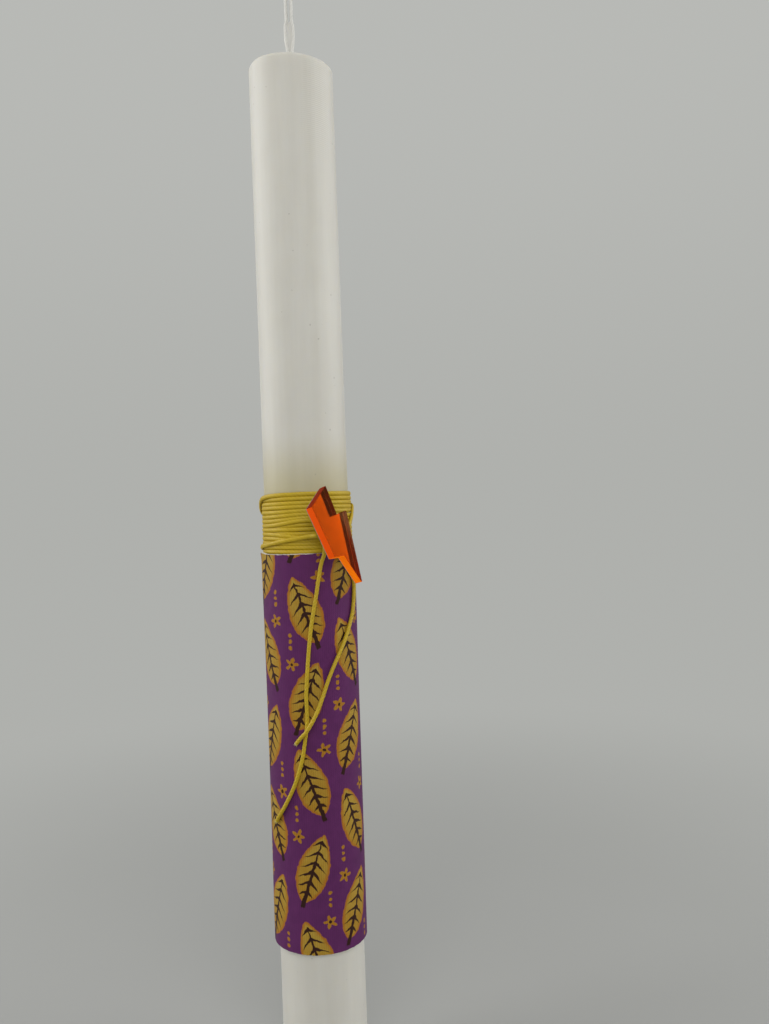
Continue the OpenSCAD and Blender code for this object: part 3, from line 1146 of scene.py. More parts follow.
class FrayedEnd(NodeTool):
    """Sets loose fibres on the cut end of a cord."""

    def __init__(self) -> None:
        """Builds the tree."""
        number = "NodeSocketFloat"
        super().__init__("frayed_end", [
            ("Fibre Length", number), ("Fibre Thickness", number), ("Density", number), ("Spread", number),
            ("Seed", "NodeSocketInt"), ("Material", "NodeSocketMaterial")])
        given = self.given
        spots = self.add("GeometryNodeDistributePointsOnFaces", Mesh=given["Geometry"],
                         Density=given["Density"], Seed=given["Seed"])
        tilt = self.add("FunctionNodeRandomValue", {"data_type": "FLOAT_VECTOR"}, Seed=given["Seed"])
        spread = self.add("ShaderNodeCombineXYZ")
        narrow = self.add("ShaderNodeCombineXYZ")
        for k in (0, 1):
            self.feed(spread.inputs[k], given["Spread"])
            self.feed(narrow.inputs[k], self.reckon("MULTIPLY", given["Spread"], -1.0))
        self.feed(tilt.inputs["Min"], narrow.outputs[0])
        self.feed(tilt.inputs["Max"], spread.outputs[0])
        lean = self.add("FunctionNodeEulerToRotation", Euler=tilt.outputs[0])
        turned = self.add("FunctionNodeRotateRotation", {"rotation_space": "LOCAL"},
                          Rotation=spots.outputs["Rotation"], Rotate_By=lean.outputs[0])
        size = self.add("FunctionNodeRandomValue", {"data_type": "FLOAT"}, Seed=given["Seed"])
        ends = [s for s in size.inputs if s.enabled and s.name in ("Min", "Max")]
        for socket, value in zip(ends, (TUFT.shortest, 1.0)):
            self.feed(socket, value)
        placed = self.add("GeometryNodeInstanceOnPoints", Points=spots.outputs["Points"],
                          Instance=self.fibre(), Rotation=turned.outputs[0], Scale=size.outputs[1])
        self.end(placed.outputs[0])

    def fibre(self) -> Socket:
        """One fibre: a thin tapering spike of a few faces.

        Returns:
            The fibre as a mesh.
        """
        given = self.given
        cone = self.add("GeometryNodeMeshCone", Vertices=5, Side_Segments=3,
                        Radius_Top=self.reckon("MULTIPLY", given["Fibre Thickness"], 0.2),
                        Radius_Bottom=self.reckon("MULTIPLY", given["Fibre Thickness"], 0.5),
                        Depth=given["Fibre Length"])
        return cone.outputs["Mesh"]

    def tuft(self, name: str, end: np.ndarray, way: np.ndarray, radius: float, seed: int,
             material: bpy.types.Material) -> bpy.types.Object:
        """Makes the tuft on one end.

        Args:
            name: The piece's name.
            end: Centre of the cut, in millimetres.
            way: Direction that the cord ends in.
            radius: Radius of the cord.
            seed: Seed of the random draws.
            material: The fibres' finish.

        Returns:
            The tuft as a mesh piece.
        """
        w = way / np.linalg.norm(way)
        a = np.cross(w, [0.3, 0.5, 0.8])
        a /= np.linalg.norm(a)
        b = np.cross(w, a)
        ring = [end + TUFT.cover * radius * (math.cos(t) * a + math.sin(t) * b)
                for t in np.linspace(0, 2 * math.pi, TUFT.sides, endpoint=False)]
        return self.run(name, ring, [], [tuple(range(TUFT.sides))], {
            "Fibre Length": TUFT.length * MM, "Fibre Thickness": TUFT.thickness * MM,
            "Density": TUFT.density, "Spread": TUFT.spread, "Seed": seed, "Material": material})


@dataclass
class WaxColumn:
    """The wax: a slightly uneven column with a rounded shoulder and a top that was cut out of level."""

    shoulder_r: float = 1.3
    chamfer: float = 0.6
    foot_soft: float = 0.25
    top_rings: int = 7
    top_step: float = 1.15
    top_dish: float = 0.06
    bore_r: float = 1.0
    bore_low: float = 1.95
    columns: int = 144
    row_step: float = 1.5
    sway: float = 0.05
    ring_depth: float = 0.012
    dent_depth: float = 0.05
    cut_slope: tuple[float, float] = (0.05, -0.05)
    cut_reach: tuple[float, float] = (9.0, 1.0)

    def build(self) -> bpy.types.Object:
        """Turns the column's outline and makes it a little uneven.

        Returns:
            The wax column.
        """
        line = self._outline()
        verts = []
        for r, z in line:
            for k in range(self.columns):
                a = 360 * k / self.columns
                p = polar(a, r + self._uneven(a, r, z), z)
                verts.append(p - np.array([0, 0, self._drop(p)]))
        faces = grid_faces(len(line), self.columns, True)
        foot, top = len(verts), len(verts) + 1
        verts += [polar(0, 0, 0), polar(0, 0, self.bore_low)]
        last = (len(line) - 1) * self.columns
        for k in range(self.columns):
            n = (k + 1) % self.columns
            faces += [(foot, n, k), (top, last + k, last + n)]
        return new_piece("wax_column", verts, faces, sharp_deg=35.0)

    def dress(self, piece: bpy.types.Object) -> None:
        """Gives the wax its finish and ties it to the frame."""
        piece.data.materials.append(WaxFinish().material())
        settle(piece, Body.CANDLE, Slot.WAX, "wax_body")

    def _outline(self) -> list[tuple[float, float]]:
        """Half of the column's section.

        Returns:
            Radius and height from the foot's rim, up the wall, over the top and down the bore.
        """
        s, r, h = self.shoulder_r, SIZES.wax_r, SIZES.wax_h
        wall = h - s - self.chamfer
        rows = int(wall / self.row_step)
        line = [(r * 0.5, 0.0), (r - self.chamfer - self.foot_soft, 0.0), (r - self.chamfer, 0.03),
                (r - self.foot_soft, 0.2), (r, self.chamfer)]
        line += [(r, self.chamfer + wall * (i + 1) / rows) for i in range(rows)]
        line += [(r - s + s * math.cos(a), h - s + s * math.sin(a))
                 for a in np.linspace(0.15, math.pi / 2, 10)]
        line += [(r - s - 0.6 - i * self.top_step, h - self.top_dish * bell(i, 3.5, 2.5))
                 for i in range(self.top_rings)]
        line += [(2.2, h), (1.6, h + 0.02), (self.bore_r, h - 0.02), (self.bore_r, h - 6.0),
                 (self.bore_r, self.bore_low)]
        return line

    def _drop(self, p: np.ndarray) -> float:
        """How far the top was cut lower than level at a point.

        Args:
            p: The point.

        Returns:
            The drop, in millimetres.
        """
        slope = self.cut_slope[0] * p[0] + self.cut_slope[1] * p[1]
        low, high = (SIZES.wax_h - reach for reach in self.cut_reach)
        return max(0.0, slope) * ease(low, high, p[2])

    def _uneven(self, az: float, r: float, z: float) -> float:
        """Radial unevenness of the wall at a point: slow sway, shallow rings and small dents.

        Args:
            az: Azimuth.
            r: Radius.
            z: Height.

        Returns:
            How far the point lies out, in millimetres.
        """
        if r < SIZES.wax_r * 0.6:
            return 0.0
        x, y, _ = polar(az, 1.0, 0.0)
        slow = wobble(x * 0.9, y * 0.9, z * 0.02, 1) * self.sway
        rings = self.ring_depth * math.sin(z * 2.1 + 0.8 * x) * ease(-0.2, 0.7, wobble(x, y, z * 0.03, 2))
        dents = -self.dent_depth * ease(0.35, 0.6, wobble(x * 2.2, y * 2.2, z * 0.11, 3))
        return slow + rings + dents


@dataclass
class Wick:
    """The doubled wick with its loop at the top, and wax between its strands up to the neck."""

    make: CordMake = CordMake(thickness=1.0, plies=3, lay=3.4, depth=0.03, step=0.3, sides=14)
    height: float = 35.0
    near: float = 0.48
    low: float = 2.0
    eye: float = 1.14
    eye_h: float = 11.0
    neck: float = 0.75
    neck_h: float = 15.0
    loop_half: float = 0.8
    loop_rise: float = 1.5
    loop_leg: float = 4.0
    lean: float = 0.04
    collar: tuple[tuple[float, float], ...] = ((2.6, -0.7), (2.2, -0.1), (1.85, 0.1), (1.45, 0.35))
    web_low: float = 0.8
    web_end: float = 0.3
    web_t: float = 0.2
    web_rows: int = 34
    web_sides: int = 24

    @property
    def loop_base(self) -> float:
        """Height of the loop's springing over the wax."""
        return self.height - self.make.thickness / 2 - self.loop_rise

    def parting(self, share: float) -> float:
        """Half distance between the strands, at a share of what they part up to the eye."""
        return self.near + (self.eye - self.near) * share

    def leg(self) -> list[np.ndarray]:
        """Line of one strand over the wax, up to the loop.

        Returns:
            Half distance between the strands, and height over the wax.
        """
        rise = self.neck_h - self.eye_h
        return catmull([
            (self.near, 0), (self.parting(0.06), 0.24 * self.eye_h), (self.parting(0.32), 0.54 * self.eye_h),
            (self.parting(0.83), 0.76 * self.eye_h), (self.eye, self.eye_h),
            (self.neck + 0.8 * (self.eye - self.neck), self.eye_h + 0.6 * rise), (self.neck, self.neck_h),
            (self.loop_half, self.neck_h + self.loop_leg), (self.loop_half, self.loop_base)], 10)

    def path(self) -> list[np.ndarray]:
        """Line of the whole wick, up one strand, over the loop and down the other.

        Returns:
            The points, in millimetres.
        """
        foot = [(self.near, z - SIZES.wax_h) for z in (self.low, 100.0, 200.0, SIZES.wax_h - 1)]
        side = [np.array([g, self.lean * wobble(h * 0.3, g, 0.0, 4), SIZES.wax_h + h])
                for g, h in foot + [tuple(q) for q in self.leg()]]
        mirror = np.array([-1.0, -1.0, 1.0])
        over = [np.array([-math.cos(a) * self.loop_half, 0,
                          SIZES.wax_h + self.loop_base + math.sin(a) * self.loop_rise])
                for a in np.linspace(0, math.pi, 20)[1:-1]]
        return [p * mirror for p in side] + over + side[::-1]

    def build(self, sweep: CordSweep) -> tuple[bpy.types.Object, bpy.types.Object]:
        """Makes the wick and the wax on it.

        Args:
            sweep: The tool that makes cords.

        Returns:
            The wick, and the wax that clings to it.
        """
        strands = sweep.cord("wick_strands", self.path(), self.make, WICK_FINISH.material())
        return strands, self._cling()

    def dress(self, strands: bpy.types.Object, cling: bpy.types.Object) -> None:
        """Finishes the wax on the wick and ties both pieces to the frame.

        Args:
            strands: The wick.
            cling: The wax on it.
        """
        cling.data.materials.append(bpy.data.materials["white_wax"])
        settle(strands, Body.CANDLE, Slot.WICK, "wick")
        settle(cling, Body.CANDLE, Slot.WAX)

    def _cling(self) -> bpy.types.Object:
        """Wax web between the strands up to the neck, on a collar that closes the wick's hole.

        Returns:
            The wax on the wick.
        """
        rows, sides = self.web_rows, self.web_sides
        gaps, heights = zip(*[tuple(q) for q in self.leg()])
        verts: list[np.ndarray] = []
        for r, h in self.collar:
            verts += [polar(360 * k / sides, r, SIZES.wax_h + h) for k in range(sides)]
        for h in np.linspace(self.web_low, self.neck_h - self.web_end, rows):
            reach = float(np.interp(h, heights, gaps)) + 0.3 * bell(h, 0.0, 1.2)
            thin = self.web_t + 0.75 * bell(h, 0.3, 1.6) + 0.05 * wobble(h * 0.5, 0, 0, 10)
            thin *= 1.0 - 0.55 * ease(self.neck_h - 2.0, self.neck_h, h)
            sag = 0.35 * ease(self.neck_h - 3.0, self.neck_h - self.web_end, h)
            for k in range(sides):
                s, c = math.sin(2 * math.pi * k / sides), math.cos(2 * math.pi * k / sides)
                half = (thin + 0.2 * abs(s) ** 3) * math.copysign(abs(c) ** 0.4, c)
                verts.append(np.array([reach * s, -half, SIZES.wax_h + h - sag * c**2]))
        faces = grid_faces(len(self.collar) + rows, sides, True) + end_faces(len(verts), sides)
        return new_piece("wick_wax", verts, faces)


@dataclass
class Sleeve:
    """The printed sheet, rolled once round the wax and lapped at the back."""

    lap_start: float = 158.8
    lap_deg: float = 42.4
    under_deg: float = 38.0
    ramp_deg: float = 8.0
    tape_t: float = 0.2
    columns: int = 236
    rows: int = 96
    curl_az: float = 290.0
    curl_out: float = 0.8
    curl_up: float = 0.95
    bulge_az: float = 268.0
    bulge: float = 0.55
    slack: float = 0.09
    lap_lift: float = 0.25
    back_inset: float = 0.02
    tape_nodes: tuple[str, ...] = ("lap_tape", "lower_band", "upper_band")

    @property
    def sweep_deg(self) -> float:
        """Angle that the whole sheet covers."""
        return 360.0 + self.under_deg

    @property
    def flat(self) -> tuple[float, float]:
        """Width and length that the sheet was cut to."""
        mid = (SIZES.sheet_in_low + SIZES.sheet_in_high + SIZES.sheet_t) / 2
        return math.radians(self.sweep_deg) * mid, SIZES.sleeve_top - SIZES.sleeve_low

    def build(self) -> bpy.types.Object:
        """Makes the rolled sheet with its print face, back and cut edges.

        Returns:
            The sleeve.
        """
        rows, columns = self.rows, self.columns
        outer, inner, uvs = [], [], []
        for i in range(rows):
            v = i / (rows - 1)
            for k in range(columns):
                u = k / (columns - 1)
                az = self.lap_start + u * self.sweep_deg
                r, z = self._face(az, u, v)
                outer.append(polar(az, r, z - self._slant(az) * (i == rows - 1)))
                inner.append(polar(az, r - SIZES.sheet_t, z - self.back_inset * (v - 0.5)))
                uvs.append((u, v))
        shift = rows * columns
        faces = grid_faces(rows, columns, False)
        printed = [1.0] * len(faces)
        faces += [(d, c, b, a) for a, b, c, d in grid_faces(rows, columns, False, shift)]
        rim = list(range(columns))
        rim += [i * columns + columns - 1 for i in range(1, rows)]
        rim += [(rows - 1) * columns + k for k in range(columns - 2, -1, -1)]
        rim += [i * columns for i in range(rows - 2, 0, -1)]
        for n, a in enumerate(rim):
            b = rim[(n + 1) % len(rim)]
            faces.append((b, a, a + shift, b + shift))
        printed += [0.0] * (len(faces) - len(printed))
        piece = new_piece("sleeve_sheet", outer + inner, faces, sharp_deg=50.0)
        mark(piece.data, "printed", "FACE", printed)
        layer = piece.data.uv_layers.new(name="sheet")
        both = np.array(uvs + uvs, np.float32)
        corners = np.zeros(len(piece.data.loops), np.int32)
        piece.data.loops.foreach_get("vertex_index", corners)
        layer.data.foreach_set("uv", both[corners].ravel())
        return piece

    def dress(self, piece: bpy.types.Object) -> None:
        """Args:
            piece: The sleeve.
        """
        width, length = self.flat
        piece.data.materials.append(PrintFinish(width, length).material())
        settle(piece, Body.CANDLE, Slot.PRINT, "printed_sleeve")
        tape = TapeFinish().material()
        for name in self.tape_nodes:
            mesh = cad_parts[name].data
            mesh.materials.clear()
            mesh.materials.append(tape)

    def _slant(self, az: float) -> float:
        """Height of the slanting cut along the upper edge, where the white core shows."""
        front = bell((az + 180) % 360 - 180, -45.0, 60.0)
        return max(0.03, 0.1 + 0.09 * front + 0.12 * wobble(az * 0.13, 0.0, 0.0, 12))

    def _face(self, az: float, u: float, v: float) -> tuple[float, float]:
        """Radius of the print face and height at a place on the sheet.

        Args:
            az: Azimuth.
            u: Share of the way round.
            v: Share of the way up.

        Returns:
            The radius and the height, in millimetres.
        """
        z = SIZES.sleeve_low + v * (SIZES.sleeve_top - SIZES.sleeve_low)
        turned = u * self.sweep_deg
        lap = (SIZES.sheet_t + self.tape_t) * (1 - ease(self.lap_deg, self.lap_deg + self.ramp_deg, turned))
        x, y, _ = polar(az, 1.0, 0.0)
        slack = -self.slack * (0.5 + 0.5 * wobble(x * 1.6, y * 1.6, z * 0.03, 5))
        curl = bell(az, self.curl_az, 13.0) * bell(v, 1.02, 0.022)
        bulge = self.bulge * bell(az, self.bulge_az, 42.0) * bell(v, 0.0, 0.3)
        lift = self.lap_lift * bell(turned, 0.0, 2.5) + bulge
        edge = bell(v, 1.0, 0.012) + bell(v, 0.0, 0.012)
        ragged = 0.12 * wobble(az * 0.35, v, 1.0, 6) + 0.06 * wobble(az * 1.1, v, 2.0, 7)
        radius = SIZES.sheet_out(z) + lap + slack + self.curl_out * curl + lift
        return radius, z + edge * ragged + self.curl_up * curl


@dataclass
class CordWork:
    """The mustard cord: wound, tied and hanging loose in two ends."""

    make: CordMake = CordMake(thickness=1.2, plies=3, lay=3.6, depth=0.09, step=0.3, sides=12)
    tight: CordMake = CordMake(thickness=1.36, plies=3, lay=3.6, depth=0.07, step=0.3, sides=14,
                               pressed=0.63)
    rows: int = 14
    pitch: float = 1.25
    step_az: float = 180.0
    step_deg: float = 30.0
    wind_start: float = 335.0
    tie_from: float = 195.0
    row_deg: float = 6.0
    path_deg: float = 2.0
    calm_start: float = 20.0
    calm_end: float = 30.0
    sway_z: float = 0.13
    sway_r: float = 0.1
    part_z: float = 162.425
    part_az: float = 3.0
    part: float = 2.0
    part_deg: float = 33.0
    part_sharp: float = 0.4
    part_fade: float = 2.6
    part_lift: float = 0.14
    part_lift_h: float = 0.8
    under_depth: float = 0.28
    under_h: float = 0.5
    under_rise: float = 1.32
    under_reach: float = 1.5
    under_dive: float = 0.25
    under_droop: float = 0.6
    under_tilt: float = 0.15
    strand_bed: float = 0.12
    straight_more: float = 0.75
    knot_turns: float = 2.92
    exit_rise: float = 1.3
    route_points: int = 36
    fray_seed: int = 3
    over_lead: tuple[Point, ...] = ((9.8, 0.29, 0.77), (17.8, 0.32, 0.48))
    over: tuple[Point, ...] = (
        (64, 0.41, 0.25), (78, 0.57, 0.08), (88, 0.685, 0), (98, 0.755, 0), (115, 0.775, 0), (140, 0.755, 0),
        (170, 0.71, 0), (200, 0.665, 0), (230, 0.64, 0), (256, 0.665, 0), (270, 0.745, 0), (282, 0.855, 0),
        (296, 0.925, 0), (314, 0.955, -0.3))
    tie: tuple[Point, ...] = (
        (-112, 0.05, -0.1), (-86, 0.10, 0), (-70, 0.125, 0), (-50, 0.16, 0), (-30, 0.20, 0),
        (-10, 0.24, 0.05))
    tie_lead: tuple[Point, ...] = ((11.8, 0.27, 0.38), (6.5, 0.28, 0.68))
    tail_long: tuple[Point, ...] = (
        (22, 2.45, 1.333), (22.5, 1, 0.7), (22, -0.6, 0.45), (18, -4, 0), (12, -12, 0), (5, -21, 0),
        (0.5, -30, 0), (-3, -40, 0), (-3, -47.5, 0), (-7, -54, 0), (-11, -59, 0), (-21, -66, 0),
        (-36, -72.5, 0), (-52, -77.5, 0))
    tail_short: tuple[Point, ...] = (
        (29, 2.45, 1.333), (34, 1.4, 0.88), (43, -0.4, 0.5), (55, -3.5, 0.05), (64, -7, 0), (68, -10, 0),
        (64, -16.5, 0), (56, -21, 0), (45, -26, 0), (32, -31.5, 0), (23, -36, 0), (15, -41, 0.2),
        (6, -46, 0.88), (-3, -50, 1.09), (-10, -52, 0.7), (-17, -54, 0))

    def build(self, sweep: CordSweep, fray: FrayedEnd) -> dict[str, bpy.types.Object]:
        """Makes the wound cord, the knot, the two loose ends and their tufts.

        Args:
            sweep: The tool that makes cords.
            fray: The tool that makes tufts.

        Returns:
            The pieces by name.
        """
        finish = CORD_FINISH.material()
        made = {}
        for name, path, make in (
                ("bound_cord", self.bound_path(), self.tight),
                ("under_turn_high", self.under_path(self.under_rise), self.tight),
                ("under_turn_low", self.under_path(-self.under_rise), self.tight),
                ("barrel_knot", self.knot_path(), self.make)):
            made[name] = sweep.cord(name, path, make, finish)
        for seed, (name, path) in enumerate(self.tails.items(), self.fray_seed):
            loose, fray_name = "loose_" + name, "fray_" + name
            made[loose] = sweep.cord(loose, path, self.make, finish)
            way = path[-1] - path[-2]
            made[fray_name] = fray.tuft(fray_name, path[-1], way, SIZES.cord_r, seed, finish)
        return made

    def dress(self, made: dict[str, bpy.types.Object]) -> None:
        """Args:
            made: The pieces by name.
        """
        settle(made["bound_cord"], Body.CANDLE, Slot.CORD,
               "cord_winding", "tie_strand", "over_strand", "knot_strand")
        for name in ("under_turn_high", "under_turn_low"):
            settle(made[name], Body.CANDLE, Slot.CORD)
        settle(made["barrel_knot"], Body.KNOT, Slot.CORD, "knot")
        for name, path in self.tails.items():
            piece, tuft = made["loose_" + name], made["fray_" + name]
            settle(piece, Body.CANDLE, Slot.CORD, name)
            settle(tuft, Body.CANDLE, Slot.CORD)

    @property
    def tails(self) -> dict[str, list[np.ndarray]]:
        """Lines of the two loose ends, by the names of their CAD nodes."""
        return {"tail_long": self.tail_path(self.tail_long), "tail_short": self.tail_path(self.tail_short)}

    @property
    def wound_r(self) -> float:
        """Radius of the cord's axis in the winding."""
        return SIZES.winding_r - SIZES.wound_t / 2

    @property
    def strand_lift(self) -> float:
        """Lift of the knot's axis over a strand that lies on the winding, in thicknesses."""
        return (SIZES.knot_axis_r - SIZES.winding_r - SIZES.cord_rest) / SIZES.cord_d

    def row_z(self, az: float) -> float:
        """Height of the cord's axis in the winding: level rows, each a step lower from the back on.

        Args:
            az: Azimuth, counted on from turn to turn.

        Returns:
            The height, in millimetres.
        """
        first = SIZES.winding_low + (self.rows - 0.5) * self.pitch
        steps = sum(ease(-self.step_deg, self.step_deg, az - self.step_az - 360 * k)
                    for k in range(1, self.rows))
        return first - steps * self.pitch

    def bound_path(self) -> list[np.ndarray]:
        """Line of the cord from the knot, round the back to the top turn, and down the rows to the knot.

        Returns:
            The points, in millimetres.
        """
        s, lift = SIZES, self.strand_lift
        half = math.degrees(math.atan(s.knot_strand_half / s.knot_axis_r))
        straight = s.knot_strand_half + self.straight_more * s.cord_d
        straight_deg = math.degrees(math.atan(straight / s.knot_axis_r))
        straight_r = math.hypot(straight, s.knot_axis_r)
        turns = 360.0 * (self.rows + 1)
        stop = self.tie_from + 360.0 * self.rows
        start = [(s.knot_az, s.knot_axis_r, s.knot_z), (s.knot_az + straight_deg, straight_r, s.knot_z)]
        start += [self.station((s.knot_az + half + deg, up, share * lift), 0)
                  for deg, up, share in self.over_lead]
        start += [self.station(q, 0) for q in self.over]
        rows = [(az, self.wound_r, self.row_z(az)) for az in np.arange(self.wind_start, stop, self.row_deg)]
        end = [self.station(q, turns) for q in self.tie]
        end += [self.station((s.knot_az - half - deg, up, share * lift), turns)
                for deg, up, share in self.tie_lead]
        end += [(s.knot_az - straight_deg + turns, straight_r, s.knot_z),
                (s.knot_az + turns, s.knot_axis_r, s.knot_z)]
        az, r, z = (np.array(c, float) for c in zip(*(start + rows + end)))
        at = np.arange(az[0], az[-1], self.path_deg)
        radius, height = monotone(az, r, at), monotone(az, z, at)
        return [self._settled(*place) for place in zip(at, radius, height)]

    def station(self, q: Point, turns: float) -> Point:
        """Point of a route that lies on the winding.

        Args:
            q: Azimuth, share of the winding's height, and lift in thicknesses of the cord.
            turns: Degrees that the route has gone round before.

        Returns:
            Azimuth, radius and height.
        """
        bed = self.strand_bed * (1 - ease(0.0, 0.5, q[2]))
        return (q[0] + turns, SIZES.winding_r + SIZES.wound_t / 2 - bed + q[2] * SIZES.cord_d,
                SIZES.winding_low + q[1] * SIZES.winding_h)

    def _settled(self, az: float, r: float, z: float) -> np.ndarray:
        """Moves a point of the bound cord to the uneven lay of turns that were wound by hand.

        Args:
            az: Azimuth, counted on from turn to turn.
            r: Radius.
            z: Height.

        Returns:
            The point, in millimetres.
        """
        inside = self.wind_start + self.calm_start < az < self.tie_from + 360 * self.rows - self.calm_end
        if not inside:
            return polar(az, r, z)
        turn = (az + 180) % 360 - 180
        near = bell(turn, self.part_az, self.part_deg)
        off = z - self.part_z
        z += self.part * near * math.tanh(off / self.part_sharp) * math.exp(-abs(off) / self.part_fade)
        r += near * (self.part_lift * bell(abs(off), self.pitch, self.part_lift_h)
                     - self.under_depth * bell(off, 0.0, self.under_h))
        z += self.sway_z * wobble(az * 0.013, z * 0.7, 1.0, 8)
        r += self.sway_r * wobble(az * 0.017, z * 0.9, 4.0, 9)
        return polar(az, r, z)

    def under_path(self, rise: float) -> list[np.ndarray]:
        """Line of a turn below, which shows where the rows part.

        Args:
            rise: Its height over the middle of the parting.

        Returns:
            The points, in millimetres.
        """
        reach, points = self.under_reach * self.part_deg, []
        for s in np.linspace(-1, 1, 60):
            r = self.wound_r - self.under_depth - self.under_dive * s**4
            z = self.part_z + rise * (1 - self.under_droop * s * s) + self.under_tilt * s
            points.append(polar(self.part_az + s * reach, r, z))
        return points

    def knot_path(self) -> list[np.ndarray]:
        """Line of the knot's wraps round the strand.

        Returns:
            The points, in millimetres.
        """
        s = SIZES
        middle = polar(s.knot_az, s.knot_axis_r, s.knot_z)
        a = math.radians(s.knot_az)
        axis, out = np.array([math.cos(a), math.sin(a), 0]), np.array([math.sin(a), -math.cos(a), 0])
        up = np.array([0, 0, 1])
        points = []
        for t in np.linspace(0, 1, 120):
            turn = 2 * math.pi * self.knot_turns * t
            shift = (t - 0.5) * (s.knot_w - s.cord_d)
            tucked = (s.knot_r - s.cord_r) * (1 - 0.5 * (ease(0.05, 0.0, t) + ease(0.95, 1.0, t)))
            points.append(middle + axis * shift + tucked * (out * math.sin(turn) - up * math.cos(turn)))
        return points

    def tail_path(self, route: tuple[Point, ...]) -> list[np.ndarray]:
        """Line of a loose end, from under the knot down over the sleeve.

        Args:
            route: Azimuth, height from the sleeve's edge, and lift in thicknesses of the cord.

        Returns:
            The points, in millimetres.
        """
        s, points = SIZES, []
        for az, h, lift in catmull(route, 8):
            rim = s.sheet_out(s.sleeve_top + min(0.0, h))
            ground = s.loose_turn_r + (rim - s.loose_turn_r) * (1 - ease(-0.4, 1.6, h))
            points.append(polar(az, ground + s.cord_rest + max(0.0, lift) * s.cord_d, s.sleeve_top + h))
        return [points[0] + np.array([0, 0, self.exit_rise])] + points


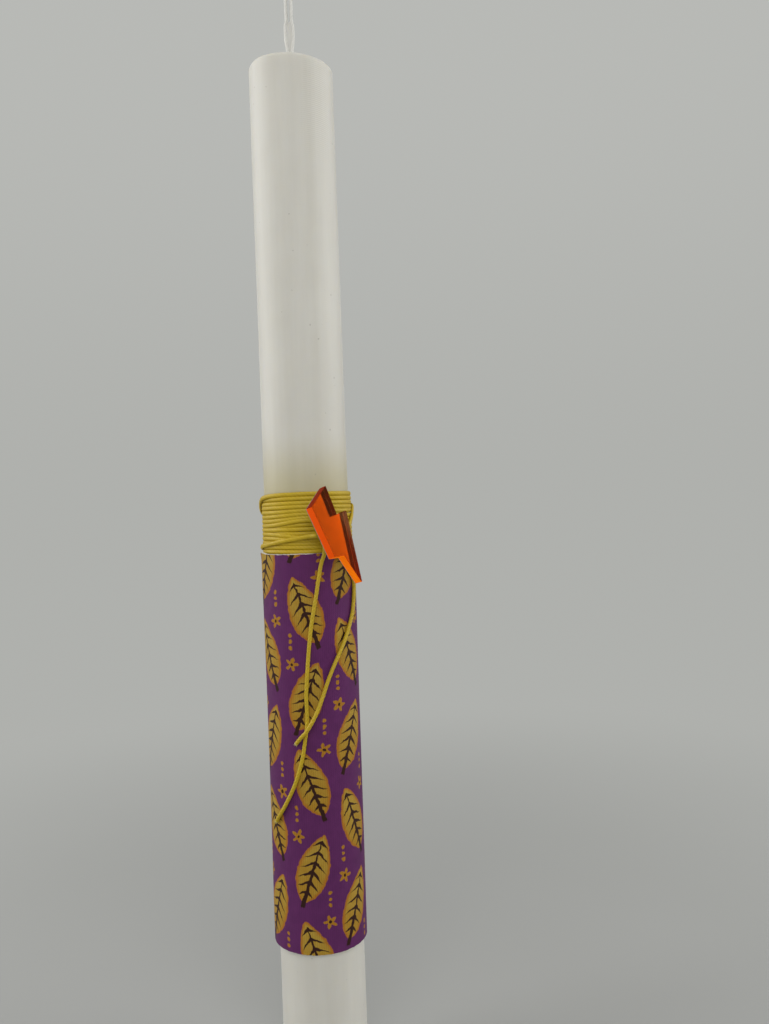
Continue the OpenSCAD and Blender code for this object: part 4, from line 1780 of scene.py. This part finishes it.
@dataclass
class Charm:
    """The bolt of orange acrylic with its mirror film and the glue behind it."""

    outline: tuple[tuple[float, float], ...] = (
        (-0.85, -16.25), (5.3, 4.1), (1.8, 4.4), (2.7, 13), (-4.7, 9.5), (-5.3, -5.8), (-2.3, -6.8))
    thickness: float = 3.0
    corner_r: float = 0.2
    inner_corner_r: float = 0.1
    edge_break: float = 0.09
    face_yaw: float = 12.0
    face_up: float = 11.0
    lean: float = 22.0
    glue_s: float = 2.4316
    glue_t: float = 0.8
    glue_r: float = 2.0
    neck_s: float = 1.5
    neck_r: float = 1.25
    glue_fill: float = 0.96
    glue_uneven: float = 0.09
    glue_roll: float = 0.08
    glue_sides: int = 40
    glue_rows: int = 18
    film_t: float = 0.2
    film_gap: float = 0.02
    film_inset: float = 0.03
    corner_steps: int = 6

    @property
    def place(self) -> Matrix:
        """Frame of the charm, in millimetres.

        Returns:
            The matrix, with its origin on the knot's axis and Z the way that the face looks.
        """
        knot = rotation(SIZES.knot_az, "Z") @ Matrix.Translation((0, -SIZES.knot_axis_r, SIZES.knot_z))
        upright = knot @ rotation(self.face_yaw, "Z") @ rotation(90 - self.face_up, "X")
        return upright @ rotation(self.lean, "Z")

    @property
    def plate_s(self) -> float:
        """Height of the plate's back over the knot's axis."""
        return self.glue_s + self.glue_t + self.film_t

    def build(self) -> tuple[bpy.types.Object, bpy.types.Object, bpy.types.Object]:
        """Makes the plate, the film and the glue.

        Returns:
            The three pieces.
        """
        low, e, i = self.plate_s, self.edge_break, self.film_inset
        high = low + self.thickness
        plate = self._plate("bolt_plate", [
            (low, e), (low + e, 0.0), (low + 1.0, 0.0), (low + 2.0, 0.0), (high - e, 0.0), (high, e)])
        film_low = self.glue_s + self.glue_t
        film = self._plate("mirror_film", [
            (film_low, 2 * i), (film_low + i, i), (film_low + self.film_t - self.film_gap, i)])
        backs = [1.0 if p.normal.dot(self._way()) < 0.5 else 0.0 for p in film.data.polygons]
        mark(film.data, "film_back", "FACE", backs)
        return plate, film, self._glue()

    def dress(self, plate: bpy.types.Object, film: bpy.types.Object, glue: bpy.types.Object) -> None:
        """Gives the three pieces their finishes and ties them to the frame.

        Args:
            plate: The acrylic bolt.
            film: The mirror film on its back.
            glue: The glue that holds it.
        """
        for piece, finish, slot, node in (
                (plate, AcrylicFinish(), Slot.ACRYLIC, "charm"),
                (film, MirrorFinish(), Slot.MIRROR, "charm_film"),
                (glue, GlueFinish(), Slot.GLUE, "glue_dab")):
            piece.data.materials.append(finish.material())
            settle(piece, Body.CHARM, slot, node)

    def _way(self) -> Vector:
        """Direction that the face looks in."""
        return (self.place.to_3x3() @ Vector((0, 0, 1))).normalized()

    def _rounded(self, inset: float) -> list[tuple[float, float]]:
        """Outline with rounded corners, moved inwards by an inset.

        Args:
            inset: How far, in millimetres.

        Returns:
            The outline's points, counter-clockwise.
        """
        pts = [np.array(p, float) for p in self.outline]
        n, out = len(pts), []
        for i in range(n):
            a, b, c = pts[i - 1], pts[i], pts[(i + 1) % n]
            u, w = (a - b) / np.linalg.norm(a - b), (c - b) / np.linalg.norm(c - b)
            convex = np.cross(b - a, c - b) > 0
            r = self.corner_r if convex else self.inner_corner_r
            half = math.acos(float(np.clip(u @ w, -1, 1))) / 2
            middle = b + (u + w) / np.linalg.norm(u + w) * r / math.sin(half)
            first, last = b + u * r / math.tan(half), b + w * r / math.tan(half)
            for k in range(self.corner_steps + 1):
                t = k / self.corner_steps
                d = (first - middle) * (1 - t) + (last - middle) * t
                d /= np.linalg.norm(d)
                out.append(tuple(middle + d * (r - inset if convex else r + inset)))
        return out

    def _plate(self, name: str, rings: Sequence[tuple[float, float]]) -> bpy.types.Object:
        """Plate with the bolt's outline.

        Args:
            name: The piece's name.
            rings: Height over the knot's axis and inset of each ring, from the back to the front.

        Returns:
            The plate, marked where the cut edge is, how far it looks down and how far round it runs.
        """
        verts, along, count = [], [], 0
        for s, inset in rings:
            line = self._rounded(inset)
            count = len(line)
            verts += [tuple(self.place @ Vector((x, y, s))) for x, y in line]
            steps = np.linalg.norm(np.diff(np.array(line + line[:1]), axis=0), axis=1)
            along.append(np.concatenate([[0], np.cumsum(steps)]) * MM)
        faces = grid_faces(len(rings), count, True)
        low, high = np.array(along[:-1]), np.array(along[1:])
        corners = np.stack([low[:, :-1], low[:, 1:], high[:, 1:], high[:, :-1]], axis=-1)
        cut = [1.0] * len(faces)
        faces += end_faces(len(verts), count)
        piece = new_piece(name, verts, faces, sharp_deg=25.0)
        mark(piece.data, "cut_edge", "FACE", cut + [0.0, 0.0])
        mark(piece.data, "edge_down", "FACE", [-p.normal.z for p in piece.data.polygons])
        mark(piece.data, "edge_along", "CORNER", [*corners.ravel(), *([0.0] * (2 * count))])
        return piece

    def _glue(self) -> bpy.types.Object:
        """Dab of glue that was pressed flat on the film, and drawn in where it holds the knot.

        Returns:
            The glue.
        """
        sides, rows = self.glue_sides, self.glue_rows
        top = self.glue_s + self.glue_t + 0.01
        verts: list[tuple[float, float, float]] = []
        for i in range(rows):
            s = self.neck_s + (top - self.neck_s) * i / (rows - 1)
            spread = ease(self.neck_s + 0.2, self.glue_s + 0.35, s)
            bulge = 1.0 - self.glue_roll * ease(top - 0.3, top, s)
            radius = self.neck_r + (self.glue_fill * self.glue_r - self.neck_r) * spread
            for k in range(sides):
                a = 2 * math.pi * k / sides
                x, y = math.cos(a), math.sin(a)
                r = radius * (1.0 + self.glue_uneven * spread * wobble(x * 1.3, y * 1.3, 0.0, 11)) * bulge
                verts.append(tuple(self.place @ Vector((r * x, r * y, s))))
        faces = grid_faces(rows, sides, True) + end_faces(len(verts), sides)
        return new_piece("glue_blob", verts, faces, sharp_deg=60.0)


@dataclass
class Studio:
    """Camera, lamps, floor and background."""

    lens: float = 30.94
    spot: Point = (0.0233, -0.264, 0.1665)
    roll_deg: float = 2.1
    sensor: float = 36.0
    seen_high: Colour = (0.48, 0.487, 0.466)
    seen_low: Colour = (0.43, 0.437, 0.417)
    seen_fade: float = 0.5
    fill: float = 0.30
    fill_tone: Colour = (1.0, 1.0, 0.99)
    floor_z: float = -0.02
    floor_sides: int = 96
    floor_rings: tuple[float, ...] = (0.02, 0.05, 0.1, 0.2, 0.4, 0.8, 1.6, 3.0)
    floor_fade: tuple[float, float] = (0.08, 0.5)
    floor_deep: Colour = (0.385, 0.39, 0.373)
    floor_pale: Colour = (0.41, 0.415, 0.40)
    lamp_aim: Point = (0.0, 0.0, 0.17)
    lamps: tuple[tuple[Point, float, float], ...] = (
        ((-0.76, 0.06, 0.50), 0.75, 4.25), ((0.80, 0.10, 0.46), 0.75, 3.4), ((0.05, -0.72, 0.62), 0.8, 3.5))

    def build(self) -> None:
        """Sets up the camera, the lamps, the floor, the background and the view."""
        self._camera()
        for spot, size, power in self.lamps:
            self._lamp(spot, size, power)
        self._world()
        self._floor()
        bpy.context.scene.view_settings.view_transform = "Standard"

    def _camera(self) -> None:
        """Places the camera at the photograph's viewing angle."""
        data = bpy.data.cameras.new("camera")
        data.lens, data.sensor_width = self.lens, self.sensor
        data.clip_start, data.clip_end = 0.01, 20.0
        camera = bpy.data.objects.new("camera", data)
        a = math.radians(self.roll_deg)
        axes = Matrix(((math.cos(a), math.sin(a), 0), (0, 0, -1), (-math.sin(a), math.cos(a), 0)))
        camera.matrix_world = Matrix.Translation(self.spot) @ axes.to_4x4()
        bpy.context.scene.collection.objects.link(camera)
        bpy.context.scene.camera = camera

    def _lamp(self, spot: Point, size: float, power: float) -> None:
        """Adds a square soft lamp that looks at the candle's middle.

        Args:
            spot: Where it hangs, in metres.
            size: Its side, in metres.
            power: Its power, in watts.
        """
        data = bpy.data.lights.new("soft_lamp", "AREA")
        data.shape, data.size, data.energy = "SQUARE", size, power
        lamp = bpy.data.objects.new("soft_lamp", data)
        way = Vector(self.lamp_aim) - Vector(spot)
        lamp.matrix_world = Matrix.Translation(spot) @ way.to_track_quat("-Z", "Y").to_matrix().to_4x4()
        bpy.context.scene.collection.objects.link(lamp)

    def _world(self) -> None:
        """Makes a plain fill light, with a grey background where the world is seen."""
        world = bpy.data.worlds.new("studio")
        bpy.context.scene.world = world
        world.use_nodes = True
        g = Graph(world.node_tree)
        light = g.tree.nodes["Background"]
        g.feed(light.inputs["Color"], self.fill_tone)
        g.feed(light.inputs["Strength"], self.fill)
        _, _, up = g.split(g.node("ShaderNodeTexCoord").outputs["Generated"])
        grey = g.node("ShaderNodeBackground")
        g.feed(grey.inputs["Color"], g.mix(g.step(0.0, self.seen_fade, up), self.seen_low, self.seen_high))
        surface = g.either(g.seen(), light.outputs[0], grey.outputs[0])
        g.feed(g.tree.nodes["World Output"].inputs["Surface"], surface)

    def _floor(self) -> None:
        """Adds a pale floor that runs into the background."""
        count = self.floor_sides
        verts = [polar(360 * k / count, r / MM, self.floor_z)
                 for r in self.floor_rings for k in range(count)]
        faces = [tuple(range(count))] + [f[::-1] for f in grid_faces(len(self.floor_rings), count, True)]
        floor = new_piece("floor", verts, faces)
        g = Coat("pale_floor")
        x, y, _ = g.split(g.place())
        far = g.step(*self.floor_fade, g.math("SQRT", x * x + y * y))
        cloud = g.noise(g.place(), scale=9.0)
        g.set(Base_Color=g.mix(cloud, self.floor_deep, self.floor_pale), Roughness=0.75)
        glow = g.node("ShaderNodeEmission")
        g.feed(glow.inputs["Color"], self.seen_low)
        surface = g.either(far * g.seen(), g.shader.outputs[0], glow.outputs[0])
        g.feed(g.output.inputs["Surface"], surface)
        floor.data.materials.append(g.material)


def main() -> None:
    """Builds the candle's pieces in order and reports each one."""
    logging.basicConfig(level=logging.INFO, format="%(name)s: %(message)s")
    Studio().build()
    sweep, fray = CordSweep(), FrayedEnd()
    cord = CordWork()
    cord.dress(cord.build(sweep, fray))
    wax = WaxColumn()
    wax.dress(wax.build())
    wick = Wick()
    wick.dress(*wick.build(sweep))
    sleeve = Sleeve()
    sleeve.dress(sleeve.build())
    charm = Charm()
    charm.dress(*charm.build())


if __name__ == "__main__":
    main()
